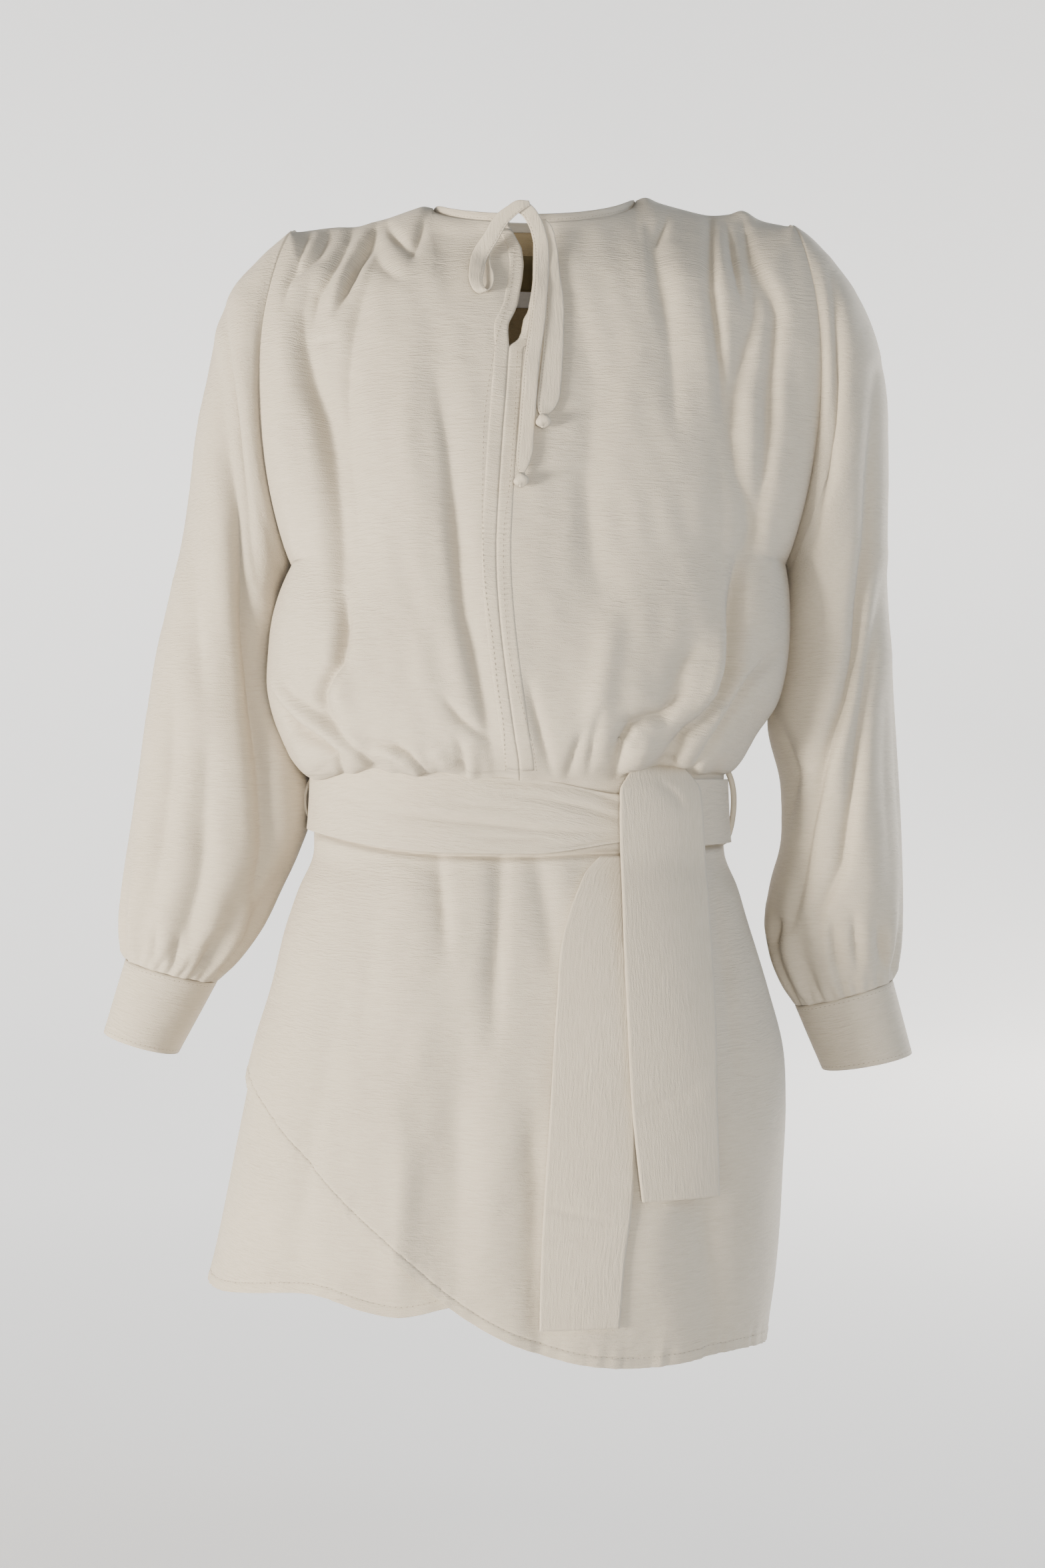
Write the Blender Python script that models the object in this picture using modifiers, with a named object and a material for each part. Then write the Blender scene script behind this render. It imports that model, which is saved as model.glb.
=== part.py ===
"""A tie-neck dress with full sleeves, a self belt and a wrap skirt, filled out as if worn.

Metres, +Z up. +X is the wearer's left and the dress faces -Y. The origin is the middle of the neck
at the height of the shoulder seams. "right" and "left" in the names are the wearer's.
Tables are in millimetres, with a row for each section, place or fold.
"""

import math

import bmesh
import bpy
import numpy as np

MM = 0.001

# Cloth and gaps
WALL = 1.5 * MM
TRIM_WALL = 1.2 * MM
BELT_WALL = 2.0 * MM
GAP = 0.3 * MM
HALF_SEAM = 0.4 * MM
SHOULDER_INSET = 0.6 * MM
UNDERARM_INSET = 1.5 * MM
LAYER = 2.5 * MM

# The front view was measured from this point, on the plane y = 0
EYE_DISTANCE = 1.5
EYE_HEIGHT = -0.406

# Neck
NECK_X = 8.5 * MM
NECK_HALF_WIDTH = 72.5 * MM
NECK_FRONT = -66 * MM
NECK_BACK = 62 * MM
NECK_FRONT_Z = -23 * MM
NECK_BACK_Z = 4 * MM
BAND_HEIGHT = 5.2 * MM
BAND_LIFT = 1.2 * MM
BAND_INSET = 1.4 * MM
BAND_LEAN = 1.0 * MM
PLACKET_WIDTH = 9.5 * MM

# Waist and belt
WAIST_X = -2.5 * MM
WAIST_HALF_WIDTH = 145 * MM
WAIST_FRONT = 98 * MM
WAIST_BACK = 83 * MM
WAIST_Z = -426.4 * MM
HIP_Z = -510 * MM
HIP_ROW = 0.25
BELLY_Z = -378 * MM
BELT_OFFSET = 2.7 * MM
ROUND = 2.3

# How the rows of the bodice are shared: down to the belly, then curled under to the waist
CURL_START = 0.88
CURL_SHARE = 1 - CURL_START
SHOULDER_ROUND = 75 * MM
BODICE_TOP_ROWS = [0, 0.013, 0.04, 0.085]
BODICE_BODY_ROWS = np.linspace(0.145, CURL_START, 8)
BODICE_CURL_ROWS = CURL_START + CURL_SHARE * np.array([0.2, 0.4, 0.6, 0.78, 1.0])
PLACKET_END_ROW = CURL_START + CURL_SHARE * 0.45

TURN = 2 * math.pi


def table(columns, rows):
    """Named columns of numbers in metres, from rows in millimetres."""
    return {name: np.array(column) * MM for name, column in zip(columns.split(), zip(*rows))}


def smooth(at, xs, ys):
    """A smooth curve through the points (xs, ys), read at the given places."""
    xs = np.asarray(xs, float)
    ys = np.asarray(ys, float)
    if xs[0] > xs[-1]:
        xs = xs[::-1]
        ys = ys[::-1]
    slopes = np.gradient(ys, xs)
    at = np.clip(np.asarray(at, float), xs[0], xs[-1])
    i = np.clip(np.searchsorted(xs, at) - 1, 0, len(xs) - 2)
    step = xs[i + 1] - xs[i]
    t = (at - xs[i]) / step
    start = ys[i] * (1 + 2 * t) * (1 - t) ** 2 + slopes[i] * step * t * (1 - t) ** 2
    end = ys[i + 1] * t * t * (3 - 2 * t) + slopes[i + 1] * step * t * t * (t - 1)
    return start + end


def ease(value, low, high):
    """0 at low, 1 at high, with a soft start and end."""
    t = np.clip((value - low) / (high - low), 0, 1)
    return t * t * (3 - 2 * t)


# Shoulder line from the neck out, as seen against the light: x outwards, z
SHOULDER = {
    "right": table("x z", [
        (-64, 3), (-70, 4), (-78, 1.7), (-95, -4), (-105, -6.5), (-115, -9.5),
        (-131, -10), (-150, -11.8), (-163.5, -13)]),
    "left": table("x z", [
        (81, 8.5), (86, 10.5), (96, 7), (111, 2.8), (133, -1.7), (147, -0.6),
        (156, 2), (167, -4), (186, -8), (192, -9)]),
}
# Armhole: top and underarm corners, how far it bows out sideways, forwards and back
ARMHOLE = {
    "right": dict(top=(-163.5 * MM, -13 * MM), low=(-163 * MM, -252 * MM),
                  bow=-18 * MM, front=-57 * MM, back=54 * MM),
    "left": dict(top=(192 * MM, -9 * MM), low=(186 * MM, -250 * MM),
                 bow=16 * MM, front=-58 * MM, back=55 * MM),
}
# Side seam of the bodice below the underarm
SIDE = {
    "right": table("z x", [
        (-252, -163), (-262, -164), (-285, -171), (-315, -177), (-340, -178), (-360, -173),
        (-400, -161)]),
    "left": table("z x", [
        (-250, 186), (-262, 184), (-290, 186), (-312, 187), (-332, 184.5), (-350, 178), (-372, 163),
        (-400, 152)]),
}
# Depth of the bodice at its middle
DEPTH = table("z front back", [
    (8, -60, 58), (-20, -66, 63), (-60, -84, 76), (-114, -101, 84), (-160, -111, 88), (-200, -118, 90),
    (-250, -123, 92), (-300, -126, 96), (-340, -127, 100), (-372, -124, 100), (-400, -118, 96)])
# Centre front: the fold line, and how far each edge of the slit lies from it
CENTRE = table("z fold right left", [
    (8, -1, -8.5, 9), (-24, -1, -8.5, 9), (-32, -1, -4, 9), (-41, -1, 0.5, 8.8), (-54, -1.5, 2.5, 9.1),
    (-66, -2.5, 2.5, 9.9), (-75, -3.5, 1.9, 10), (-84, -4.7, 1.7, 9.7), (-91, -5.8, 0.2, 9.8),
    (-98, -7, -2, 10),
    (-104, -7.8, -1.6, 9.8), (-110, -8.4, -0.6, 8), (-115, -8.8, 0, 0), (-147, -10.9, 0, 0),
    (-181, -13.4, 0, 0),
    (-224, -16, 0, 0), (-247, -17, 0, 0), (-271, -16.6, 0, 0), (-300, -14.4, 0, 0), (-335, -10.3, 0, 0),
    (-365, -6.2, 0, 0), (-400, -1.6, 0, 0), (-430, -1.6, 0, 0)])
# The curl under the blouson: height, and how far in it has come, from 0 at the belly to 1 at the waist
CURL = [(0, -378, 0), (0.2, -388, 0.08), (0.4, -395, 0.33), (0.55, -397.6, 0.64), (0.68, -398.4, 0.9),
        (0.76, -399.6, 1), (0.84, -404, 1), (1, -426.0, 1)]
# Where the short belt end lifts the blouson
LIFT_X = 95 * MM
LIFT_HALF_WIDTH = 26 * MM
LIFT = 9 * MM

# Skirt sections: sides, front and back
SKIRT = table("z right left front back", [
    (-426.4, -147.5, 142.5, -98, 83), (-440, -147.5, 142.5, -98, 83), (-456, -148, 143, -98.5, 84),
    (-479, -157, 152, -105, 92),
    (-501, -163.5, 158.5, -110, 99), (-552, -176, 174, -118, 109), (-591, -188, 184, -122, 115),
    (-630, -196, 186, -126, 119), (-675, -205, 184, -128, 122), (-720, -214, 181.5, -130, 124),
    (-756, -222, 178, -131, 125), (-800, -230, 171, -131, 125)])
HEM = {
    "overlap": table("x z", [
        (-197, -607), (-172, -636), (-140, -669), (-113, -694), (-86, -716), (-55, -743), (-14, -768),
        (27, -783),
        (60, -789), (78, -790.5), (105, -790), (132, -789), (160, -791), (174, -796)]),
    "underlay": table("x z", [
        (-222, -755), (-205, -753), (-185, -749), (-133, -744.5), (-104, -752), (-81, -755), (-55, -750),
        (0, -735), (60, -705), (120, -665), (187, -607)]),
    "back": table("x z", [(-222, -755), (-120, -768), (0, -775), (100, -779), (174, -795)]),
}

# Sleeve rings from the armhole to the cuff: outer and inner edge, front, back, middle in y, sideways bow
RING_COLUMNS = "out_x out_z in_x in_z front back middle bow"
SLEEVE = {
    "right": table(RING_COLUMNS, [
        (-178, -26, -167.5, -254, -61, 58, 0, -12.5), (-192, -39, -169.5, -257, -64, 60, 1, -8.5),
        (-203, -52, -171, -260, -65, 61, 2, -5), (-214, -73, -173, -263, -65, 62, 3, -2),
        (-221, -98, -174.5, -268, -64, 62, 4, 0), (-229, -140, -176, -277, -62, 60, 6, 0),
        (-236, -182, -179, -290, -60, 58, 8, 0), (-244, -230, -182.5, -308, -58, 56, 10, 0),
        (-254, -277, -185, -332, -56, 54, 10, 0), (-263.5, -322, -185, -356, -55, 54, 10, 0),
        (-272, -375, -178, -387, -55, 54, 10, 0), (-279, -425, -165, -425, -54, 53, 10, 0),
        (-284, -462, -163, -455, -53, 53, 10, 0), (-287, -492, -173, -482, -50, 50, 10, 0),
        (-287, -510, -187, -508, -44, 44, 10, 0), (-285, -522, -203, -530, -38, 38, 9, 0),
        (-283.5, -530, -220, -547, -32, 32, 8, 0)]),
    "left": table(RING_COLUMNS, [
        (207, -20, 189, -252, -63, 60, 0, 12), (222, -37, 190.5, -255, -66, 62, 1, 8),
        (236, -57, 192, -258, -68, 63, 2, 4), (248, -80, 193, -261, -68, 64, 3, 0),
        (257, -115, 194, -266, -67, 64, 5, 0), (260, -160, 195, -274, -64, 62, 8, 0),
        (260.5, -210, 195, -286, -61, 60, 10, 0), (262, -262, 194.5, -304, -59, 58, 12, 0),
        (265, -315, 193, -332, -57, 56, 12, 0), (268, -365, 187, -366, -56, 55, 12, 0),
        (270.5, -412, 186, -406, -56, 54, 12, 0), (272, -450, 186, -446, -56, 53, 12, 0),
        (272, -480, 180, -476, -54, 52, 11, 0), (270.5, -505, 175, -503, -50, 49, 10, 0),
        (268.5, -522, 178, -526, -44, 44, 9, 0), (266, -535, 186, -547, -38, 38, 8, 0),
        (264, -545, 196, -563.5, -32, 32, 7, 0)]),
}
# Cuffs: the two ends, with front and back
CUFF = {
    "right": table(RING_COLUMNS, [
        (-283.6, -531.2, -220.6, -548.2, -31, 31, 8, 0), (-291, -556, -234, -573, -31, 31, 8, 0),
        (-299, -583, -248, -598.5, -31, 31, 8, 0)]),
    "left": table(RING_COLUMNS, [
        (264.4, -546.2, 196.6, -564.7, -31, 31, 7, 0), (271, -571, 206, -587, -31, 31, 7, 0),
        (278, -598, 216, -610, -31, 31, 7, 0)]),
}
# Gathers round each cuff: uneven waves, by how many, how deep, how high they reach
GATHERS = 11
GATHER_DEPTH = 3.0 * MM
GATHER_REACH = 0.30

# Folds: half width and depth in, in millimetres, then places as seen from the front
FRONT_FOLDS = [
    (7.5, 8.5, [(-105, -6), (-119, -34), (-127, -60)]),
    (7.5, 7, [(-151, -10), (-155, -25), (-162, -38), (-168, -56)]),
    (7.5, 6, [(-88, -2), (-92, -24), (-91, -52)]),
    (7.5, 5, [(-132, -12), (-138, -32), (-141, -62)]),
    (10, 10, [(-139, -20), (-152, -40), (-160, -67), (-159, -95), (-151, -135), (-142, -178), (-135, -227),
             (-133, -269), (-133, -312), (-144, -333), (-140, -365)]),
    (10, 7, [(-56, -149), (-52, -196), (-46, -237), (-42, -274), (-44, -320), (-50, -350), (-46, -380)]),
    (9.5, 7, [(-140, -360), (-118, -378), (-92, -390)]),
    (7.5, 7, [(87, 4), (86, -18), (82, -46)]),
    (7.5, 5, [(108, -4), (108, -26), (104, -56)]),
    (7.5, 8.5, [(134, -8), (135, -34), (132, -80)]),
    (8.5, 7, [(148, -6), (150, -26), (149, -58)]),
    (10.5, 10, [(160, -12), (164, -48), (167, -72), (162, -100), (154, -122), (153, -148), (156, -175),
            (164, -200),
            (165, -215), (158, -274)]),
    (8.5, 7, [(171, -14), (178, -44), (184, -80), (179, -104), (177, -139), (175, -175)]),
    (9.5, 7, [(184, -312), (170, -323), (160, -342), (150, -362)]),
    (8.5, 4, [(4, -320), (8, -350), (14, -378)]),
    (8.5, 8.5, [(66, -392), (75, -363), (86, -340)]),
    (8.5, 7, [(98, -386), (113, -372), (136, -353)]),
    (7.5, 5, [(47, -398), (50, -376), (54, -350)]),
    (14, 5, [(60, -120), (52, -180), (58, -250), (70, -300)]),
]
BACK_FOLDS = [
    (7.5, 8.5, [(-100, -6), (-112, -34), (-118, -66)]),
    (7.5, 7, [(-124, -10), (-132, -30), (-139, -58)]),
    (7.5, 7, [(-148, -12), (-155, -32), (-161, -60)]),
    (11, 10, [(-130, -26), (-146, -60), (-150, -110), (-140, -170), (-132, -230), (-136, -300),
            (-128, -360)]),
    (12, 7, [(-60, -150), (-54, -210), (-40, -270), (-46, -340)]),
    (7.5, 7, [(96, 0), (98, -24), (94, -58)]),
    (7.5, 7, [(120, -4), (124, -28), (122, -64)]),
    (7.5, 7, [(146, -4), (152, -30), (154, -62)]),
    (11, 10, [(152, -24), (164, -70), (160, -120), (150, -170), (158, -220), (154, -290), (146, -350)]),
    (13, 7, [(44, -140), (50, -200), (36, -270), (44, -350)]),
    (9.5, 7, [(-100, -394), (-92, -366), (-98, -330)]),
    (9.5, 7, [(-12, -394), (-6, -364), (-14, -326)]),
    (9.5, 7, [(92, -394), (86, -362), (94, -330)]),
    (9.5, 7, [(140, -392), (132, -366), (140, -338)]),
]
SKIRT_FOLDS = [
    (9.5, 7, [(-12, -452), (-14, -480), (-16, -512)]),
    (8.5, 5, [(-59, -452), (-57, -472), (-55, -494)]),
    (22, 6, [(-44, -570), (-46, -640), (-46, -720), (-48, -800)]),
    (16, 5, [(118, -600), (128, -680), (136, -760), (138, -830)]),
    (14, 5, [(-120, -520), (-134, -580), (-150, -650), (-160, -720), (-166, -790)]),
    (16, 5, [(6, -640), (12, -720), (10, -830)]),
]
SKIRT_BACK_FOLDS = [
    (10.5, 7, [(-60, -430), (-62, -480), (-66, -540)]),
    (10.5, 7, [(40, -430), (44, -490), (46, -550)]),
    (18, 8.5, [(-96, -540), (-104, -620), (-110, -700), (-112, -800)]),
    (20, 7, [(0, -560), (4, -640), (2, -720), (-2, -800)]),
    (18, 8.5, [(104, -540), (112, -620), (116, -700), (112, -810)]),
]
SLEEVE_FOLDS = {
    "right": [
        (10.5, 10, [(-216, -70), (-213, -110), (-207, -160), (-200, -210), (-192, -262)]),
        (11, 13.5, [(-214, -146), (-208, -206), (-202, -258), (-196, -312), (-191, -354), (-188, -400),
                (-184, -450)]),
        (10, 7, [(-222, -108), (-224, -150), (-217, -248), (-213, -330), (-216, -400)]),
        (10, 8.5, [(-246, -300), (-250, -380), (-262, -450), (-268, -505)]),
        (10.5, 7, [(-228, -420), (-232, -470), (-240, -515)]),
    ],
    "left": [
        (10.5, 8.5, [(214, -40), (224, -72), (228, -122), (226, -160), (222, -190), (214, -228)]),
        (10, 12, [(252, -114), (250, -170), (246, -230), (242, -278), (236, -330), (222, -390), (209, -428),
                 (203, -465), (196, -500)]),
        (10, 10, [(255, -280), (248, -330), (240, -376), (231, -420), (224, -460), (214, -498)]),
        (10.5, 7, [(256, -300), (260, -350), (262, -400), (266, -450), (268, -500)]),
    ],
}
SLEEVE_BACK_FOLDS = {
    "right": [
        (10.5, 10, [(-212, -80), (-206, -130), (-198, -190), (-194, -240)]),
        (11, 12, [(-236, -150), (-230, -230), (-222, -310), (-214, -390), (-206, -470)]),
        (10, 8.5, [(-250, -330), (-254, -400), (-258, -470)]),
    ],
    "left": [
        (10.5, 10, [(232, -80), (224, -130), (216, -190), (212, -240)]),
        (11, 12, [(250, -150), (240, -230), (232, -310), (224, -390), (214, -470)]),
        (10, 8.5, [(258, -330), (256, -400), (250, -470)]),
    ],
}

# Belt edges by place round the front: x, top and bottom
BELT_EDGE = table("x top bottom", [
    (-152, -402.6, -438), (-120, -402.6, -443.5), (-90, -402.6, -448), (-55, -402.6, -451.5),
    (0, -402.6, -452),
    (50, -402.6, -451), (90, -402.6, -449.5), (146, -402.6, -447)])
# Belt ends: height, left and right edge, and how far they stand off the skirt
END_SHORT = table("z left right clear", [
    (-402.4, 70, 116, 4.75), (-406, 66.5, 119.5, 7.8), (-420, 65, 121.5, 12), (-440, 65, 123, 11.5),
    (-470, 66, 125, 8.6), (-510, 67, 127, 6.4), (-560, 69, 129, 5.2), (-620, 72, 129.5, 5.2),
    (-660, 76, 130.5, 5.2), (-680, 78.5, 131, 5.2)])
END_LONG = table("z left right clear", [
    (-454, 52, 92, 2.4), (-462, 44, 88, 2.4), (-478, 36, 84, 2.4), (-505, 27, 79, 2.4),
    (-550, 22.5, 77, 2.4),
    (-620, 18, 74, 2.4), (-680, 14, 72, 2.4), (-720, 12, 67, 2.4), (-762, 11, 63.5, 2.4)])
# A belt loop from its upper end over the belt to its lower end: how far out, and the height
LOOP_PATH = table("out z", [
    (1.4, -401.1), (3.7, -401.0), (5.4, -403.6), (5.9, -418), (5.6, -444), (4.5, -448.4), (2.6, -449.4)])
LOOP_FRONT = -8.5 * MM
LOOP_BACK = -3.5 * MM
LOOP_WALL = 0.8 * MM

# Tie pieces: places of their middle line as seen from the front, and how far off the bodice
TIE_WIDTH = 11 * MM
TIE_LOOP = [
    (3, 8, 11), (-5, 7.5, 10.5), (-13, -1, 8.5), (-21.5, -13, 7.5), (-28, -27, 7), (-31.5, -40, 6.6),
    (-31, -48, 7.2), (-26.5, -51, 6.4), (-23.5, -46, 5.4), (-23, -36, 5.3), (-21, -24, 5.5),
    (-16, -12, 5.6),
    (-9, -4, 5.8)]
TIE_TAIL_LONG = [
    (1.5, 5.5, 8.6), (6.5, -1, 8.2), (10.4, -12, 7.4), (12.6, -25, 7), (13.5, -49, 6.6), (10.7, -74, 6.4),
    (6.3, -103, 6.2), (4.5, -140, 5.4), (2.3, -169, 5), (-0.5, -183, 5)]
TIE_TAIL_SHORT = [
    (12, -3, 5.2), (17, -11, 5.3), (21, -30, 5.4), (24.0, -59, 5.0), (24.3, -89, 4.4), (21.8, -122, 4.4),
    (19.4, -136, 4.8), (16.2, -141.8, 5)]
BALL_LONG = (-1, -188.8, 6.4)
BALL_SHORT = (15.6, -147.6, 6.4)
BALL_RADIUS = 4.8 * MM

# Inside back neck: left, right, bottom and top
LABEL = (-20 * MM, 28 * MM, -38 * MM, -14 * MM)
TAG = (-8 * MM, 16 * MM, -50 * MM, -39 * MM)
LABEL_WALL = 0.5 * MM
LABEL_CLEAR = 2.0 * MM


def seen(points):
    """Where the line from the eye through each point meets the plane y = 0, as x and z."""
    scale = EYE_DISTANCE / (EYE_DISTANCE + points[..., 1])
    return points[..., 0] * scale, EYE_HEIGHT + (points[..., 2] - EYE_HEIGHT) * scale


def unseen(x, z, y):
    """The x and z of a point at depth y that is seen at x and z on the plane y = 0."""
    scale = (EYE_DISTANCE + y) / EYE_DISTANCE
    return x * scale, EYE_HEIGHT + (z - EYE_HEIGHT) * scale


def fold_depth(x, z, folds):
    """How far the folds push the cloth in at each place. A fold fades out at its two ends."""
    total = np.zeros(np.shape(x))
    for half_width, depth, places in folds:
        line = np.array(places) * MM
        lengths = np.hypot(*np.diff(line, axis=0).T)
        along = np.concatenate([[0], np.cumsum(lengths)]) / lengths.sum()
        nearest = np.full(np.shape(x), np.inf)
        place = np.zeros(np.shape(x))
        for i, length in enumerate(lengths):
            step = (line[i + 1] - line[i]) / length
            run = np.clip((x - line[i, 0]) * step[0] + (z - line[i, 1]) * step[1], 0, length)
            off = np.hypot(x - line[i, 0] - run * step[0], z - line[i, 1] - run * step[1])
            closer = off < nearest
            nearest = np.where(closer, off, nearest)
            place = np.where(closer, along[i] + (along[i + 1] - along[i]) * run / length, place)
        strength = np.sin(math.pi * np.clip(place * 0.86 + 0.07, 0, 1)) ** 0.7
        total = total + depth * MM * strength * np.exp(-((nearest / (half_width * MM)) ** 2))
    return total


def moved_along_normal(surface, u, v, depth):
    """Points of a surface moved inwards by the given depths, along its own normals."""
    step = 1e-3
    du = surface(u + step, v) - surface(u - step, v)
    dv = surface(u, v + step) - surface(u, v - step)
    normal = np.cross(du, dv)
    normal = normal / np.maximum(np.linalg.norm(normal, axis=-1, keepdims=True), 1e-12)
    return surface(u, v) + normal * np.asarray(depth)[..., None]


# Neck and bodice


def neckline(x, front):
    """Depth and height of the neck edge above a place between the two neck corners."""
    reach = np.clip((x - NECK_X) / NECK_HALF_WIDTH, -1, 1)
    fall = np.sqrt(1 - reach**2)
    deep = NECK_FRONT if front else NECK_BACK
    middle_z = NECK_FRONT_Z if front else NECK_BACK_Z
    corner_z = np.where(reach < 0, SHOULDER["right"]["z"][0], SHOULDER["left"]["z"][0])
    return deep * fall, corner_z + (middle_z - corner_z) * fall


def top_edge(side, x, front):
    """Depth and height of a panel's top edge: the neckline, then the shoulder seam."""
    neck_y, neck_z = neckline(x, front)
    corner = SHOULDER[side]["x"][0]
    past_neck = np.abs(x) > abs(corner)
    shoulder_z = smooth(np.abs(x), np.abs(SHOULDER[side]["x"]), SHOULDER[side]["z"])
    return np.where(past_neck, 0, neck_y), np.where(past_neck, shoulder_z, neck_z)


def side_edge(side, z, front):
    """x and depth of the panel's outer edge: the armhole, then the side seam."""
    hole = ARMHOLE[side]
    middle = (hole["top"][1] + hole["low"][1]) / 2
    half = (hole["top"][1] - hole["low"][1]) / 2
    across = np.clip((z - middle) / half, -1, 1)
    bulge = np.sqrt(1 - across**2)
    chord = hole["low"][0] + (hole["top"][0] - hole["low"][0]) * (across + 1) / 2
    share = (across + 1) / 2
    inset = math.copysign(1, hole["bow"]) * (UNDERARM_INSET + (SHOULDER_INSET - UNDERARM_INSET) * share)
    hole_x = chord + hole["bow"] * bulge**2 - inset
    side_x = smooth(z, SIDE[side]["z"], SIDE[side]["x"]) - inset
    above = z > hole["low"][1]
    depth = hole["front"] if front else hole["back"]
    return np.where(above, hole_x, side_x), np.where(above, depth * bulge, 0)


def bodice(side, front):
    """The surface of half a bodice panel, by a from the centre (0) to the side (1) and row s (0 to 1)."""
    column = "front" if front else "back"
    edge = side if front else "back"
    waist_depth = -WAIST_FRONT if front else WAIST_BACK
    waist_x = WAIST_X + (WAIST_HALF_WIDTH if side == "left" else -WAIST_HALF_WIDTH)
    top_x = SHOULDER[side]["x"][-1]

    def centre_x(z):
        if edge == "back":
            return np.zeros(np.shape(z))
        up = np.asarray(z, float)
        return smooth(up, CENTRE["z"], CENTRE["fold"]) + np.interp(up, CENTRE["z"][::-1], CENTRE[edge][::-1])

    def surface(a, s):
        a = np.asarray(a, float) + 0 * s
        s = np.asarray(s, float) + 0 * a
        inner = centre_x(np.full(np.shape(a), -24 * MM))
        top_y, top_z = top_edge(side, inner + (top_x - inner) * a, front)
        curl = np.clip((s - CURL_START) / CURL_SHARE, 0, 1)
        places, heights, pulls = zip(*CURL)
        low_z = smooth(curl, places, heights) * MM
        pull = np.clip(smooth(curl, places, pulls), 0, 1)
        z = np.where(s < CURL_START, top_z + (BELLY_Z - top_z) * s / CURL_START, low_z)
        side_x, side_y = side_edge(side, z, front)
        x = centre_x(z) + (side_x - centre_x(z)) * a
        deep = smooth(z, DEPTH["z"], DEPTH[column])
        q = 1.15 + (ROUND - 1.15) * ease(-z, 120 * MM, 270 * MM)
        reach = np.clip(1 - np.abs(np.clip(a, 0, 1)) ** ROUND, 0, 1) ** (1 / q)
        body_y = side_y + (deep - side_y) * reach
        fall = np.clip((top_z - z) / (SHOULDER_ROUND * (1 - 0.97 * np.clip(a, 0, 1) ** 6)), 0, 1)
        rounded = np.sqrt(1 - (1 - fall) ** 2)
        y = top_y + (body_y - top_y) * rounded
        waist_here = centre_x(np.full(np.shape(a), WAIST_Z))
        ring_x = waist_here + (waist_x - waist_here) * a
        ring_y = waist_depth * np.clip(1 - np.abs(np.clip(a, 0, 1)) ** ROUND, 0, 1) ** (1 / ROUND)
        x = x + (ring_x - x) * pull
        y = y + (ring_y - y) * pull
        if front:
            near = np.clip(1 - ((x - LIFT_X) / LIFT_HALF_WIDTH) ** 2, 0, 1) ** 2
            z = z + LIFT * near * ease(s, 0.80, 0.92) * (1 - ease(curl, 0.5, 0.85))
        y = y + (-HALF_SEAM if front else HALF_SEAM) * (1 - reach * rounded)
        return np.stack([x, y, z], axis=-1)

    return surface


def bodice_points(side, front, a, s, out=0.0):
    """A bodice panel's points with its folds, moved out by a distance."""
    surface = bodice(side, front)
    x, z = seen(surface(a, s)) if front else (surface(a, s)[..., 0], surface(a, s)[..., 2])
    folds = fold_depth(x, z, FRONT_FOLDS if front else BACK_FOLDS)
    calm = (1 - ease(a, 0.86, 0.99)) * (1 - ease(s, 0.93, 0.965)) * ease(s, 0.0, 0.02)
    facing_in = 1 if (side == "left") == front else -1
    return moved_along_normal(surface, a, s, facing_in * (folds * calm - out) * np.ones(np.shape(s)))


# Skirt and belt


def skirt_ring(angle, z):
    """A point of the skirt's plain form. The angle is 0 at the wearer's left, a quarter turn at the front."""
    right = smooth(z, SKIRT["z"], SKIRT["right"])
    left = smooth(z, SKIRT["z"], SKIRT["left"])
    front = smooth(z, SKIRT["z"], SKIRT["front"])
    back = smooth(z, SKIRT["z"], SKIRT["back"])
    across = np.cos(angle)
    deep = np.sin(angle)
    x = (left + right) / 2 + (left - right) / 2 * np.sign(across) * np.abs(across) ** (2 / ROUND)
    y = np.where(deep > 0, front, back) * np.abs(deep) ** (2 / ROUND)
    return np.stack([x, y, z], axis=-1)


def skirt_panel(angles, rows, hem, folds, shift, out=0.0):
    """A skirt panel: rows from the waist to its hem, with folds, shifted in or out by a function."""

    def surface(angle, row):
        angle = np.asarray(angle, float) + 0 * row
        row = np.asarray(row, float) + 0 * angle
        z = np.full(np.shape(angle), hem["z"].mean())
        for _ in range(4):
            z = smooth(skirt_ring(angle, z)[..., 0], hem["x"], hem["z"])
        upper = WAIST_Z + (HIP_Z - WAIST_Z) * row / HIP_ROW
        height = np.where(row < HIP_ROW, upper, HIP_Z + (z - HIP_Z) * (row - HIP_ROW) / (1 - HIP_ROW))
        return skirt_ring(angle, height)

    angle, row = np.meshgrid(angles, rows)
    base = surface(angle, row)
    x, z = seen(base) if angles[0] < math.pi - 0.1 else (base[..., 0], base[..., 2])
    depth = fold_depth(x, z, folds) * ease(-z, 452 * MM, 470 * MM)
    calm = ease(np.sin(angle) ** 2, 0.0, 0.12)
    return moved_along_normal(surface, angle, row, shift(angle, base[..., 2]) + out - depth * calm)


def settled(z):
    """0 at the waist, where the skirt's layers are sewn together, 1 where they hang apart."""
    return ease(-z, 456 * MM, 520 * MM)


def overlap_shift(angle, z):
    return LAYER * settled(z) * (1 - np.cos(angle)) / 2


def underlay_shift(angle, z):
    return overlap_shift(angle, z) - LAYER


def no_shift(angle, z):
    return np.zeros(np.shape(angle))


def skirt_front_y(x, z):
    """Depth of the skirt's plain front, and how much longer a way across it is than a level one."""
    right = smooth(z, SKIRT["z"], SKIRT["right"])
    left = smooth(z, SKIRT["z"], SKIRT["left"])
    front = smooth(z, SKIRT["z"], SKIRT["front"])
    reach = np.clip(np.abs((x - (left + right) / 2) / ((left - right) / 2)), 0, 1)
    depth = front * (1 - reach**ROUND) ** (1 / ROUND)
    slope = reach ** (ROUND - 1) * np.maximum(1 - reach**ROUND, 0.05) ** (1 / ROUND - 1)
    steep = np.hypot(1, slope * front / ((left - right) / 2))
    return depth - LAYER * settled(z) * (1 - (x - (left + right) / 2) / ((left - right) / 2)) / 2, steep


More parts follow.
